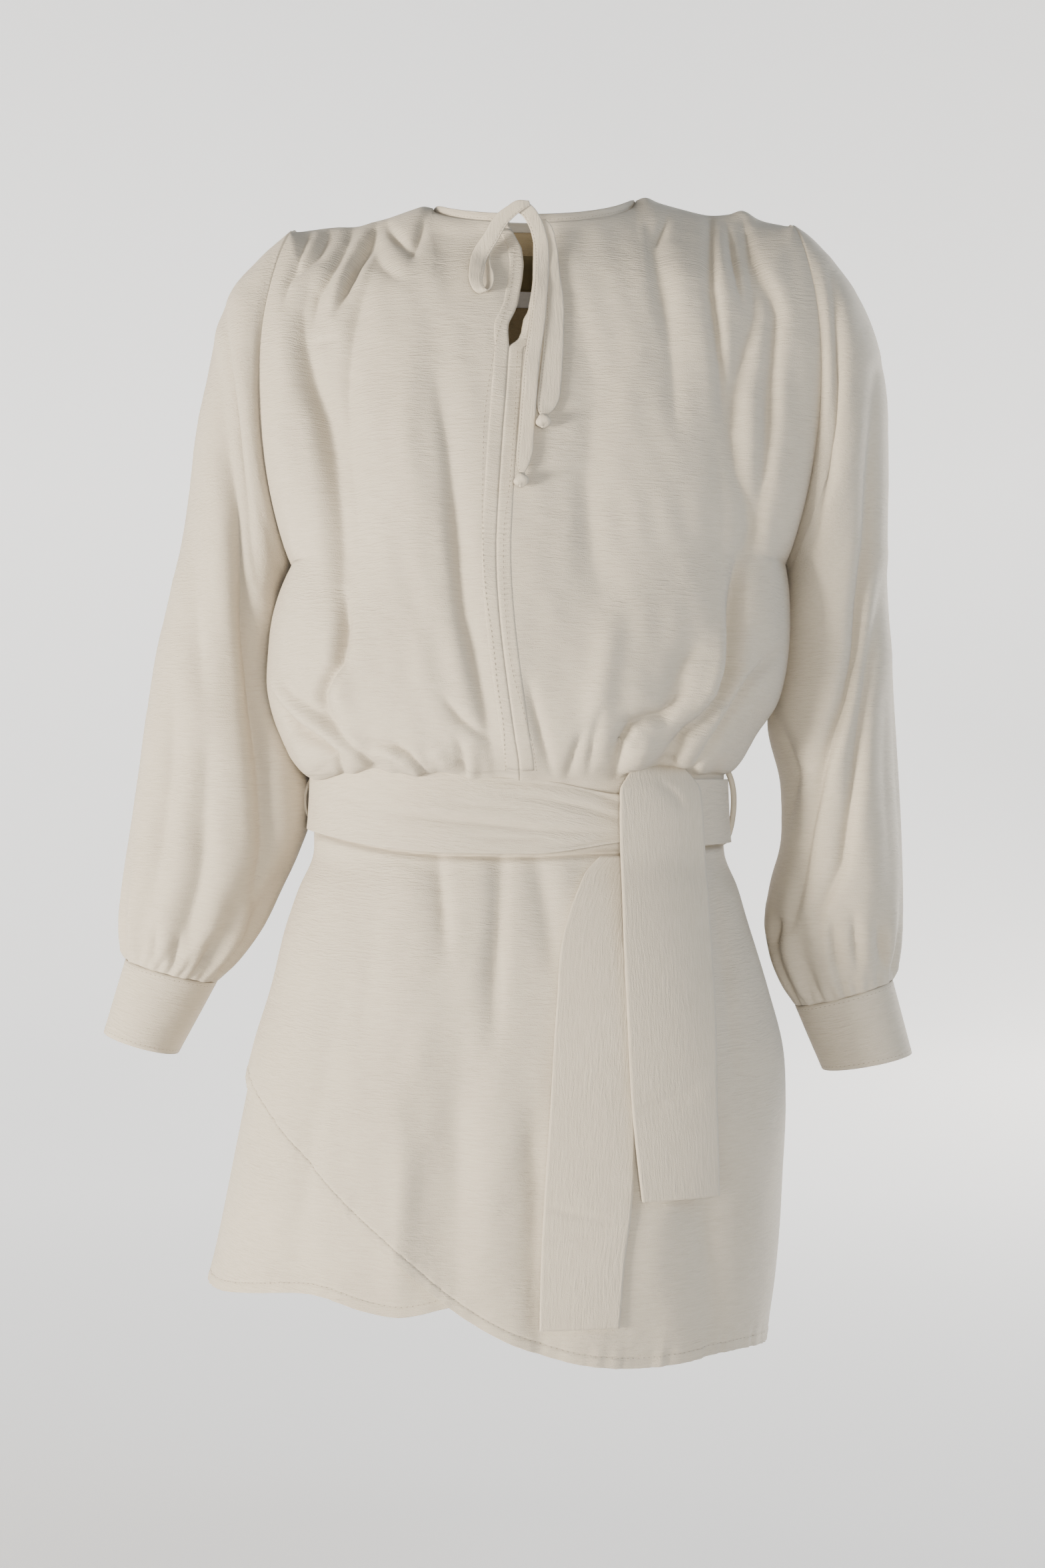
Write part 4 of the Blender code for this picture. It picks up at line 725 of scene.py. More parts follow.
def moved_along_normal(surface, u, v, depth, level=None):
    """Points of a surface moved inwards by the given depths, along its own normals.

    Level gives the v of the same height beside a place, where the surface's rows aren't level.
    """
    step = 1e-3
    if level:
        du = surface(u + step, level(u + step, u, v)) - surface(u - step, level(u - step, u, v))
    else:
        du = surface(u + step, v) - surface(u - step, v)
    dv = surface(u, v + step) - surface(u, v - step)
    return surface(u, v) + unit(np.cross(du, dv)) * np.asarray(depth)[..., None]


# Neck and bodice


def neckline(x, front):
    """Depth and height of the neck edge above a place between the two neck corners."""
    reach = np.clip((x - NECK_X) / NECK_HALF_WIDTH, -1, 1)
    fall = np.sqrt(1 - reach**2)
    deep = NECK_FRONT if front else NECK_BACK
    middle_z = NECK_FRONT_Z if front else NECK_BACK_Z
    corner_z = np.where(reach < 0, SHOULDER["right"]["z"][0], SHOULDER["left"]["z"][0])
    return deep * fall, corner_z + (middle_z - corner_z) * fall


def top_edge(side, x, front):
    """Depth and height of a panel's top edge: the neckline, then the shoulder seam."""
    neck_y, neck_z = neckline(x, front)
    corner = SHOULDER[side]["x"][0]
    past_neck = np.abs(x) > abs(corner)
    shoulder_z = smooth(np.abs(x), np.abs(SHOULDER[side]["x"]), SHOULDER[side]["z"])
    return np.where(past_neck, 0, neck_y), np.where(past_neck, shoulder_z, neck_z)


def hole_heights(hole):
    """The middle of an armhole's height, and half of it."""
    return (hole["top"][1] + hole["low"][1]) / 2, (hole["top"][1] - hole["low"][1]) / 2


def side_edge(side, z, front):
    """x and depth of the panel's outer edge: the armhole, then the side seam."""
    hole = ARMHOLE[side]
    middle, half = hole_heights(hole)
    across = np.clip((z - middle) / half, -1, 1)
    bulge = np.sqrt(1 - across**2)
    chord = hole["low"][0] + (hole["top"][0] - hole["low"][0]) * (across + 1) / 2
    share = (across + 1) / 2
    inset = math.copysign(1, hole["bow"]) * (UNDERARM_INSET + (SHOULDER_INSET - UNDERARM_INSET) * share)
    hole_x = chord + hole["bow"] * bulge**2 - inset
    side_x = smooth(z, SIDE[side]["z"], SIDE[side]["x"]) - inset
    above = z > hole["low"][1]
    depth = hole["front"] if front else hole["back"]
    return np.where(above, hole_x, side_x), np.where(above, depth * bulge, 0)


def blurred(function, place, width):
    """The mean of a function's results over places to both sides of the given ones."""
    steps = np.linspace(-1, 1, 9)
    weights = np.cos(steps * math.pi / 2.2) ** 2
    results = [function(place + step * width) for step in steps]
    return [sum(weight * result[i] for weight, result in zip(weights, results)) / weights.sum() for i in (0, 1)]


def soft_edge(side, z, front):
    """The outer edge again, without the corner under the arm: what the cloth further in follows."""
    hole = ARMHOLE[side]
    middle, half = hole_heights(hole)
    depth = hole["front"] if front else hole["back"]

    def eased(height):
        bulge = np.clip(1 - ((height - middle) / half) ** 2, 0, 1)
        edge_x, _ = side_edge(side, height, front)
        return edge_x, np.where(height > middle, depth * bulge**0.5, depth * bulge**0.85)

    return blurred(eased, z, EDGE_BLUR)


def bodice(side, front):
    """The surface of half a bodice panel, by a from the centre (0) to the side (1) and row s (0 to 1)."""
    column = "front" if front else "back"
    edge = side if front else "back"
    waist_depth = -WAIST_FRONT if front else WAIST_BACK
    waist_x = WAIST_X + (WAIST_HALF_WIDTH if side == "left" else -WAIST_HALF_WIDTH)
    top_x = SHOULDER[side]["x"][-1]

    def centre_x(z):
        if edge == "back":
            return np.zeros(np.shape(z))
        up = np.asarray(z, float)
        return smooth(up, CENTRE["z"], CENTRE["fold"]) + np.interp(up, CENTRE["z"][::-1], CENTRE[edge][::-1])

    def surface(a, s):
        a, s = matched(a, s)
        inner = centre_x(np.full(np.shape(a), SLIT_TOP))
        across = inner + (top_x - inner) * a
        top_y, top_z = top_edge(side, across, front)
        soft_y, soft_z = blurred(lambda place: top_edge(side, place, front), across, NECK_BLUR)
        below = ease(s, *TOP_BLUR_DOWN) * ease(a, *TOP_BLUR_ACROSS)
        top_y = top_y + (soft_y - top_y) * below
        top_z = top_z + (soft_z - top_z) * below * TOP_BLUR_DROP
        curl = np.clip((s - CURL_START) / CURL_SHARE, 0, 1)
        close = ease(across, *CLOSE_FROM) * (1 - ease(across, *CLOSE_TO)) if front else 0
        low_z, pull = [
            sum(share * smooth(curl, [row[0] for row in form], [row[column_number] for row in form])
                for form, share in ((CURL, 1 - close), (CLOSE_CURL, close))) for column_number in (1, 2)]
        low_z = low_z * MM
        pull = np.clip(pull, 0, 1)
        z = np.where(s < CURL_START, top_z + (BELLY_Z - top_z) * s / CURL_START, low_z)
        side_x, side_y = side_edge(side, z, front)
        soft_x, soft_side_y = soft_edge(side, z, front)
        near_edge = ease(a, *EDGE_NEAR)
        side_x = soft_x + (side_x - soft_x) * near_edge
        side_y = soft_side_y + (side_y - soft_side_y) * near_edge
        x = centre_x(z) + (side_x - centre_x(z)) * a
        deep = smooth(z, DEPTH["z"], DEPTH[column])
        q = CHEST_ROUND + (ROUND - CHEST_ROUND) * ease(-z, *CHEST_TO_WAIST)
        reach = np.clip(1 - np.abs(np.clip(a, 0, 1)) ** ROUND, 0, 1) ** (1 / q)
        body_y = side_y + (deep - side_y) * reach
        fall = np.clip((top_z - z) / (SHOULDER_ROUND * (1 - SHOULDER_SHARPER * np.clip(a, 0, 1) ** 6)), 0, 1)
        rounded = np.sqrt(1 - (1 - fall) ** 2)
        y = top_y + (body_y - top_y) * rounded
        waist_here = centre_x(np.full(np.shape(a), WAIST_Z))
        ring_x = waist_here + (waist_x - waist_here) * a
        ring_y = waist_depth * np.clip(1 - np.abs(np.clip(a, 0, 1)) ** ROUND, 0, 1) ** (1 / ROUND)
        x = x + (ring_x - x) * pull
        y = y + (ring_y - y) * pull
        for place, half_width, lift in (LIFTS if front else BACK_LIFTS):
            near = np.clip(1 - ((x / MM - place) / half_width) ** 2, 0, 1) ** 2
            z = z + lift * MM * near * ease(s, *LIFT_FROM) * (1 - ease(curl, *LIFT_TO))
        y = y + (-HALF_SEAM if front else HALF_SEAM) * (1 - reach * rounded)
        return np.stack([x, y, z], axis=-1)

    return surface


def bodice_points(side, front, a, s, out=0.0):
    """A bodice panel's points with its folds, moved out by a distance."""
    surface = bodice(side, front)
    x, z = seen(surface(a, s)) if front else (surface(a, s)[..., 0], surface(a, s)[..., 2])
    folds = fold_depth(x, z, FRONT_FOLDS if front else BACK_FOLDS)
    folds = folds + swells(x, z, 11 if front else 12)
    calm = (1 - ease(a, *CALM_SIDE)) * (1 - ease(s, *CALM_LOW)) * ease(s, *CALM_TOP)
    facing_in = 1 if (side == "left") == front else -1
    inner = (CENTRE["fold"][1] + CENTRE[side][1]) if front else 0

    def level(beside, a, s):
        tops = [top_edge(side, inner + (SHOULDER[side]["x"][-1] - inner) * across, front)[1] for across in (a, beside)]
        height = tops[0] + (BELLY_Z - tops[0]) * s / CURL_START
        return np.where(s < CURL_START, np.maximum(CURL_START * (height - tops[1]) / (BELLY_Z - tops[1]), 0), s)

    return moved_along_normal(surface, a, s, facing_in * (folds * calm - out) * np.ones(np.shape(s)), level)


# Skirt and belt


def skirt_ring(angle, z):
    """A point of the skirt's plain form. The angle is 0 at the wearer's left, a quarter turn at the front."""
    right, left, front, back = [smooth(z, SKIRT["z"], SKIRT[column]) for column in ("right", "left", "front", "back")]
    across = np.cos(angle)
    deep = np.sin(angle)
    x = (left + right) / 2 + (left - right) / 2 * np.sign(across) * np.abs(across) ** (2 / ROUND)
    y = np.where(deep > 0, front, back) * np.abs(deep) ** (2 / ROUND)
    return np.stack([x, y, z], axis=-1)


def skirt_panel(angles, rows, hem, folds, shift, out=0.0):
    """A skirt panel: rows from the waist to its hem, with folds, shifted in or out by a function."""

    def surface(angle, row):
        angle, row = matched(angle, row)
        z = np.full(np.shape(angle), hem["z"].mean())
        for _ in range(4):
            z = smooth(skirt_ring(angle, z)[..., 0], hem["x"], hem["z"])
        upper = WAIST_Z + (HIP_Z - WAIST_Z) * row / HIP_ROW
        height = np.where(row < HIP_ROW, upper, HIP_Z + (z - HIP_Z) * (row - HIP_ROW) / (1 - HIP_ROW))
        return skirt_ring(angle, height)

    angle, row = np.meshgrid(angles, rows)
    base = surface(angle, row)
    x, z = seen(base) if angles[0] < math.pi - 0.1 else (base[..., 0], base[..., 2])
    depth = fold_depth(x, z, folds) * ease(-z, *FOLDS_BEGIN)
    if folds:
        depth = depth + swells(x, z, 13) * ease(-z, *SWELLS_BEGIN)
        under_belt = smooth(base[..., 0], BELT_EDGE["x"], BELT_EDGE["bottom"]) - HOLLOW_DROP
        depth = depth + BELT_HOLLOW * np.exp(-(((base[..., 2] - under_belt) / HOLLOW_WIDTH) ** 2))
    calm = ease(np.sin(angle) ** 2, 0.0, 0.06)
    return moved_along_normal(surface, angle, row, shift(angle, base[..., 2]) + out - depth * calm)


def settled(z):
    """0 at the waist, where the skirt's layers are sewn together, 1 where they hang apart."""
    return ease(-z, *LAYERS_PART)


def overlap_shift(angle, z):
    return LAYER * settled(z) * (1 - np.cos(angle)) / 2


def underlay_shift(angle, z):
    return overlap_shift(angle, z) - LAYER


def no_shift(angle, z):
    return np.zeros(np.shape(angle))


def skirt_front_y(x, z):
    """Depth of the skirt's plain front, and how much longer a way across it is than a level one."""
    right, left, front = [smooth(z, SKIRT["z"], SKIRT[column]) for column in ("right", "left", "front")]
    across = (x - (left + right) / 2) / ((left - right) / 2)
    reach = np.clip(np.abs(across), 0, 1)
    depth = front * (1 - reach**ROUND) ** (1 / ROUND)
    slope = reach ** (ROUND - 1) * np.maximum(1 - reach**ROUND, 0.05) ** (1 / ROUND - 1)
    steep = np.hypot(1, slope * front / ((left - right) / 2))
    return depth - LAYER * settled(z) * (1 - across) / 2, steep


def ring_normals(ring):
    """Level outward normals of a closed ring of points."""
    along = np.roll(ring, -1, axis=0) - np.roll(ring, 1, axis=0)
    normal = np.cross(along, (0, 0, 1))
    outwards = np.sign(np.sum(normal * (ring - ring.mean(axis=0)), axis=1, keepdims=True))
    return unit(normal) * outwards


# Sleeves


def ring(row, angle):
    """A ring across a sleeve. The angle is 0 at its outer edge, a quarter turn at its front."""
    across = np.cos(angle)
    deep = np.sin(angle)
    x = (row["out_x"] + row["in_x"]) / 2 + (row["out_x"] - row["in_x"]) / 2 * across + row["bow"] * deep**2
    z = (row["out_z"] + row["in_z"]) / 2 + (row["out_z"] - row["in_z"]) / 2 * across
    y = np.where(deep > 0, row["front"], row["back"]) * np.abs(deep) ** 0.92 + row["middle"]
    return np.stack([x, y, z], axis=-1)


def sleeve_table(side):
    """The sleeve's rings, with the armhole itself put first."""
    hole = ARMHOLE[side]
    outwards = math.copysign(1, hole["bow"])
    first = dict(out_x=hole["top"][0] + outwards * SHOULDER_INSET, out_z=hole["top"][1],
                 in_x=hole["low"][0] + outwards * UNDERARM_INSET,
                 in_z=hole["low"][1], front=hole["front"], back=hole["back"], middle=0.0, bow=hole["bow"])
    return {name: np.concatenate([[first[name]], column]) for name, column in SLEEVE[side].items()}


def sleeve_surface(side):
    rings = sleeve_table(side)
    places = np.linspace(0, 1, len(rings["bow"]))

    def surface(angle, s):
        angle, s = matched(angle, s)
        row = {name: smooth(s, places, column) for name, column in rings.items()}
        return ring(row, angle)

    return surface


def gather_wave(angle, count):
    """Uneven ripples round a ring, from -1 to 1."""
    swell = 0.7 + 0.3 * np.sin(3 * angle + 1.0)
    return swell * np.sin(count * angle + 0.8 * np.sin(2 * angle))


def sleeve_points(side, angles, rows, out=0.0):
    surface = sleeve_surface(side)
    angle, s = np.meshgrid(angles, rows)
    base = surface(angle, s)
    front = np.sin(angle) > 0
    x, z = seen(base)
    folds = np.where(front, fold_depth(x, z, SLEEVE_FOLDS[side]),
                     fold_depth(base[..., 0], base[..., 2], SLEEVE_BACK_FOLDS[side]))
    folds = folds + swells(x, z, 14)
    calm = (ease(s, *SLEEVE_CALM_TOP) * (1 - ease(s, *SLEEVE_CALM_LOW))
            * ease(np.abs(np.sin(angle)), *SLEEVE_CALM_SIDE))
    gathers = GATHER_DEPTH * ease(s, 1 - GATHER_REACH, 0.95) * gather_wave(angle, GATHERS)
    gathers = gathers * (1 - 0.75 * ease(s, 0.95, 1.0))
    fine = gather_wave(angle + 0.4, 2 * GATHERS + 5) * ease(s, 0.90, 0.985) * (1 - 0.5 * ease(s, 0.99, 1.0))
    gathers = gathers + FINE_GATHER * fine
    facing_out = 1 if side == "left" else -1
    return moved_along_normal(surface, angle, s, facing_out * (gathers + out - folds * calm))


def on_bodice(trees, place):
    """The world point seen at a place on the bodice's front, x and z and how far off it stands, all in mm."""
    x, z, clear = np.array(place) * MM
    eye = Vector((0, -EYE_DISTANCE, EYE_HEIGHT))
    for beside in SLIT_STEPS:
        ahead = (Vector((x + beside, 0, min(z, NECK_LIMIT))) - eye).normalized()
        depths = [hit[0].y for hit in (tree.ray_cast(eye, ahead) for tree in trees) if hit[0] is not None]
        if depths:
            break
    y = min(depths) - clear
    world_x, world_z = unseen(x, z, y)
    return np.array([world_x, y, world_z])


def ribbon_points(trees, places, count):
    """A flat strip between two smooth edges, each given by places seen on the front of the bodice."""
    edges = [np.array([on_bodice(trees, row[i]) for row in places]) for i in (0, 1)]
    middle = (edges[0] + edges[1]) / 2
    along = distances(middle)
    along = along / along[-1]
    t = np.linspace(0, 1, count)
    left, right = [np.stack([smooth(t, along, edge[:, i]) for i in range(3)], axis=-1) for edge in edges]
    return np.stack([left, (left + right) / 2, right], axis=1)


# Fine grids


def spread(low, high, count, ends):
    """Places from low to high, closer together near high: even at ends 0, closest at ends 1."""
    t = np.linspace(0, 1, count)
    return low + (high - low) * (t * (1 - ends) + np.sin(t * math.pi / 2) * ends)


def undulation(u, v, seed, length, amount):
    """Soft uneven swells of the cloth, longer down (v) than across (u)."""
    draw = np.random.default_rng(seed)
    total = np.zeros(np.shape(u))
    for _ in range(14):
        across = draw.uniform(0.5, 1.6) * TURN / length * draw.choice([-1, 1])
        down = draw.uniform(-0.6, 0.6) * TURN / length
        total = total + np.sin(u * across + v * down + draw.uniform(0, TURN))
    return total / math.sqrt(14) * amount


def arcs(grid, closed=False):
    """Lengths across and down the cloth at each point of a grid, in metres."""
    across = np.linalg.norm(np.diff(grid, axis=1), axis=-1)
    down = np.linalg.norm(np.diff(grid, axis=0), axis=-1)
    u = np.concatenate([np.zeros((len(grid), 1)), np.cumsum(across, axis=1)], axis=1)
    v = np.concatenate([np.zeros((1, grid.shape[1])), np.cumsum(down, axis=0)], axis=0)
    if not closed:
        u = u - u.mean(axis=1, keepdims=True)
    return u, v


def hem_shape(grid, seed, edge_length=10 * MM, fold=HEM_WIDTH, pucker=0.7 * MM, pitch=11 * MM):
    """How far a turned-up hem moves out: its double cloth, the groove of its stitches and its puckers."""
    down = np.linalg.norm(np.diff(grid, axis=0), axis=-1)
    from_edge = np.concatenate([np.cumsum(down[::-1], axis=0)[::-1], np.zeros((1, grid.shape[1]))], axis=0)
    along = distances(grid[-1])
    draw = np.random.default_rng(seed)
    wave = np.zeros(len(along))
    for share in (1, 0.73, 1.41):
        wave = wave + np.sin(along * TURN / pitch * share + draw.uniform(0, TURN)) / 2
    thicker = 0.35 * MM * (1 - ease(from_edge, fold - 1 * MM, fold + 1 * MM))
    groove = -0.5 * MM * np.exp(-((from_edge - fold) / (1.2 * MM)) ** 2)
    slanted = np.exp(-((from_edge - fold * 0.6) / edge_length) ** 2)
    return thicker + groove + pucker * wave[None, :] * slanted


# Finishes


class Nodes:
    """A material's node tree, with a short way to add and join nodes."""

    def __init__(self, name):
        self.material = bpy.data.materials.new(name)
        self.material.use_nodes = True
        self.tree = self.material.node_tree
        self.shader = self.tree.nodes["Principled BSDF"]

    def add(self, kind, inputs=None, **settings):
        node = self.tree.nodes.new(kind)
        for key, value in settings.items():
            setattr(node, key, value)
        for key, value in (inputs or {}).items():
            if isinstance(value, bpy.types.NodeSocket):
                self.tree.links.new(value, node.inputs[key])
            else:
                node.inputs[key].default_value = value
        return node

    def math(self, operation, first, second=0.0):
        return self.add("ShaderNodeMath", {0: first, 1: second}, operation=operation).outputs[0]

    def noise(self, vector, scale=1.0, detail=2.0, roughness=0.5):
        node = self.add("ShaderNodeTexNoise", {"Vector": vector, "Scale": scale, "Detail": detail,
                                               "Roughness": roughness})
        return node.outputs["Fac"]

    def stretched(self, u, v, per_u, per_v):
        """Coordinates that count features of a size across and down the cloth."""
        return self.add("ShaderNodeCombineXYZ", {0: self.math("MULTIPLY", u, per_u),
                                                 1: self.math("MULTIPLY", v, per_v)}).outputs[0]

    def mix(self, factor, first, second):
        node = self.add("ShaderNodeMix", data_type="RGBA")
        for index, value in ((0, factor), (6, first), (7, second)):
            if isinstance(value, bpy.types.NodeSocket):
                self.tree.links.new(value, node.inputs[index])
            else:
                node.inputs[index].default_value = value
        return node.outputs[2]


def cloth_finish(name, colour, pale, crinkle=1.0, lengthwise=False):
    """Crinkled viscose: short fine lines across the cloth, patches of them, and a weave under them.

    Its colour is painted paler on the tops of the lines, as a highlight, and in random mottled patches.
    """
    nodes = Nodes(name)
    place = nodes.add("ShaderNodeUVMap", uv_map="cloth").outputs[0]
    split = nodes.add("ShaderNodeSeparateXYZ", {0: place})
    u, v = split.outputs[0], split.outputs[1]
    if lengthwise:
        u, v = v, u
    wander = nodes.noise(nodes.stretched(u, v, *WANDER), detail=1.0)
    lines_v = nodes.math("ADD", v, nodes.math("MULTIPLY", wander, WANDER_REACH))
    lines = nodes.noise(nodes.stretched(u, lines_v, *LINES), detail=2.5, roughness=0.6)
    short = nodes.noise(nodes.stretched(u, lines_v, *SHORT_LINES), detail=1.0)
    patches = nodes.noise(nodes.stretched(u, v, *PATCHES), detail=1.0)
    weave = nodes.noise(nodes.stretched(u, v, *WEAVE), detail=0.0)
    strength = nodes.add("ShaderNodeMapRange", {"Value": patches, "From Min": 0.3, "From Max": 0.7,
                                                "To Min": 0.35, "To Max": 1.0}).outputs[0]
    ripple = nodes.math("MULTIPLY", nodes.math("ADD", lines, nodes.math("MULTIPLY", short, SHORT_SHARE)), strength)
    height = nodes.math("ADD", ripple, nodes.math("MULTIPLY", weave, WEAVE_SHARE))
    bump = nodes.add("ShaderNodeBump", {"Height": height, "Strength": CRINKLE * crinkle, "Distance": CRINKLE_HEIGHT})
    nodes.tree.links.new(bump.outputs[0], nodes.shader.inputs["Normal"])
    # Painted highlight: the colour is paler where the crinkle lines stand highest
    crinkle_top_highlight = nodes.add("ShaderNodeMapRange", {"Value": lines, "From Min": 0.3, "From Max": 0.72}).outputs[0]
    mottled = nodes.noise(nodes.stretched(u, v, *MOTTLE), detail=1.0)
    blend = nodes.math("ADD", nodes.math("MULTIPLY", crinkle_top_highlight, 1 - MOTTLE_SHARE),
                       nodes.math("MULTIPLY", mottled, MOTTLE_SHARE))
    shade = nodes.mix(blend, (*colour, 1), (*pale, 1))
    nodes.tree.links.new(shade, nodes.shader.inputs["Base Color"])
    nodes.shader.inputs["Roughness"].default_value = ROUGHNESS
    nodes.shader.inputs["Sheen Weight"].default_value = SHEEN
    nodes.shader.inputs["Sheen Roughness"].default_value = SHEEN_ROUGHNESS
    return nodes.material


def plain_finish(name, colour, roughness=0.85, weave=600.0):
    """A plain fine weave, for labels and threads."""
    nodes = Nodes(name)
    place = nodes.add("ShaderNodeTexCoord").outputs["Object"]
    grain = nodes.noise(place, scale=weave, detail=1.0)
    darker = tuple(part * 0.86 for part in colour)
    shade = nodes.mix(grain, (*darker, 1), (*colour, 1))
    nodes.tree.links.new(shade, nodes.shader.inputs["Base Color"])
    bump = nodes.add("ShaderNodeBump", {"Height": grain, "Strength": 0.3, "Distance": 0.0002})
    nodes.tree.links.new(bump.outputs[0], nodes.shader.inputs["Normal"])
    nodes.shader.inputs["Roughness"].default_value = roughness
    return nodes.material


# Meshes


# The four corners of each face of a grid, as slices of its rows and columns
HERE = (slice(0, -1), slice(0, -1))
BELOW = (slice(1, None), slice(0, -1))
OPPOSITE = (slice(1, None), slice(1, None))
BESIDE = (slice(0, -1), slice(1, None))


def numbered(shape, closed=False):
    """The number of each point of a grid. A closed grid has its first column again at its end."""
    number = np.arange(shape[0] * shape[1]).reshape(shape[:2])
    return np.concatenate([number, number[:, :1]], axis=1) if closed else number


def quads(number, corners=(HERE, BELOW, OPPOSITE, BESIDE)):
    return np.stack([number[corner] for corner in corners], axis=-1).reshape(-1, 4)


def placed(name, data):
    """A new object, in the scene."""
    thing = bpy.data.objects.new(name, data)
    bpy.context.scene.collection.objects.link(thing)
    return thing


def mesh_object(name, points, faces, finishes, uvs=None):
    """A smooth mesh with its finishes, and uvs for each corner of each face where it has them."""
    mesh = bpy.data.meshes.new(name)
    mesh.from_pydata(np.asarray(points).tolist(), [], faces if isinstance(faces, list) else faces.tolist())
    if uvs is not None:
        layer = mesh.uv_layers.new(name="cloth")
        layer.data.foreach_set("uv", np.asarray(uvs, np.float32).ravel())
    mesh.shade_smooth()
    for finish in finishes:
        mesh.materials.append(finish)
    return placed(name, mesh)


def mesh_piece(name, points, faces, finishes, uvs=None):
    """A piece of the dress, which rides on its one body."""
    piece = mesh_object(name, points, faces, finishes, uvs)
    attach(piece, "root")
    return piece


def cloth(name, grid, base, finish, node, wall, closed=False, flip=False, inner=None, middle=None, level=False):
    """A thin shell through a grid of points that stands for a CAD node. Base is the grid without its folds.

    Where middle names a column, the cloth's threads run level across that column, and on a level piece everywhere.
    """
    u, v = arcs(base, closed)
    if middle is not None:
        u = u - u[:, middle:middle + 1]
        guide = grid.shape[1] // 3 if middle == 0 else middle
        order = np.argsort(base[:, guide, 2])
        v = np.interp(base[..., 2], base[order, guide, 2], v[order, guide])
    if level:
        v = -base[..., 2]
    if closed:
        last = np.linalg.norm(base[:, 0] - base[:, -1], axis=-1)
        u = np.concatenate([u, (u[:, -1] + last)[:, None]], axis=1)
        v = np.concatenate([v, v[:, :1]], axis=1)
    corners = (BESIDE, OPPOSITE, BELOW, HERE) if flip else (HERE, BELOW, OPPOSITE, BESIDE)
    faces = quads(numbered(grid.shape, closed), corners)
    uvs = np.stack([np.stack([u[c], -v[c]], axis=-1) for c in corners], axis=-2).reshape(-1, 2)
    piece = mesh_piece(name, grid.reshape(-1, 3), faces, [finish, inner or finish], uvs)
    thick = piece.modifiers.new("Wall", "SOLIDIFY")
    thick.thickness = wall
    thick.offset = 0
    # An inner finish, where given, colours the inside faces: the back's is painted shade
    thick.material_offset = 1 if inner else 0
    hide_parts(node)
    return piece


def threads(name, lines, finish, stitch=2.3 * MM, gap=1.3 * MM, thickness=0.5 * MM):
    """Rows of stitches: short spindles along lines of points, each line with its outward normals."""
    points = []
    faces = []
    for line, normals in lines:
        line = np.asarray(line, float)
        normals = np.asarray(normals, float)
        along = distances(line)
        for start in np.arange(gap, along[-1] - stitch, stitch + gap):
            at = np.array([start, start + stitch / 2, start + stitch])
            place = np.stack([np.interp(at, along, line[:, i]) for i in range(3)], axis=-1)
            out = unit(np.array([np.interp(at[1], along, normals[:, i]) for i in range(3)]))
            side = unit(np.cross(place[2] - place[0], out))
            first = len(points)
            middle = place[1]
            half = thickness / 2
            points += [place[0] - out * half / 2, place[2] - out * half / 2, middle + out * half,
                       middle + side * half, middle - side * half]
            for a, b in ((2, 3), (3, 4), (4, 2)):
                faces += [(first, first + a, first + b), (first + 1, first + b, first + a)]
    piece = mesh_piece(name, points, faces, [finish])
    return piece


def tucked(grid, side, reach=2.4 * MM, under=1.1 * MM):
    """The grid with one more row past an edge that goes under its neighbour. Side is first or last."""
    edge, inner = (grid[0], grid[2]) if side == "first" else (grid[-1], grid[-3])
    ahead = unit(edge - inner)
    away = unit(np.cross(np.roll(edge, -1, axis=0) - np.roll(edge, 1, axis=0), ahead))
    inwards = np.sign(np.sum(away * (edge.mean(axis=0) - edge), axis=1, keepdims=True))
    near = edge + ahead * reach * 0.25 + away * inwards * under
    row = edge + ahead * reach + away * inwards * under
    return np.concatenate([[row], [near], grid]) if side == "first" else np.concatenate([grid, [near], [row]])


def tree_of(grid):
    """A search tree of a grid's faces, for laying things on it."""
    return BVHTree.FromPolygons(grid.reshape(-1, 3).tolist(), quads(numbered(grid.shape)).tolist())


def laid_on(tree, places, out, step=2 * MM):
    """Points and normals on a piece, where the camera sees the given places (mm) on the plane y = 0."""
    places = np.array(places, float) * MM
    along = distances(places)
    at = np.linspace(0, along[-1], max(3, int(along[-1] / step)))
    xs = smooth(at, along, places[:, 0])
    zs = smooth(at, along, places[:, 1])
    eye = Vector((0, -EYE_DISTANCE, EYE_HEIGHT))
    points = []
    normals = []
    for x, z in zip(xs, zs):
        hit, normal, _, _ = tree.ray_cast(eye, (Vector((x, 0, z)) - eye).normalized())
        if hit is None:
            continue
        if normal.dot(eye - hit) < 0:
            normal = -normal
        points.append(hit + normal * out)
        normals.append(normal)
    return np.array(points), np.array(normals)


def along_edge(grid, distance, out, closed=False, last=True):
    """A line on the cloth at a distance from the grid's last or first row, with its outward normals."""
    rows = grid[::-1] if last else grid
    down = np.linalg.norm(np.diff(rows, axis=0), axis=-1)
    reach = np.concatenate([np.zeros((1, grid.shape[1])), np.cumsum(down, axis=0)], axis=0)

    def at(distance):
        return np.array([[np.interp(distance, reach[:, j], rows[:, j, i]) for i in range(3)]
                         for j in range(grid.shape[1])])

    line = at(distance)
    up = at(distance + 2 * MM) - line
    normals = unit(np.cross(np.gradient(line, axis=0), up), least=1e-9)
    middle = grid.reshape(-1, 3).mean(axis=0)
    facing = np.sign(np.sum(normals * (line - middle) * (1, 1, 0), axis=1, keepdims=True))
    normals = normals * facing
    if closed:
        line = np.concatenate([line, line[:1]])
        normals = np.concatenate([normals, normals[:1]])
    return line + normals * out, normals


# Pieces


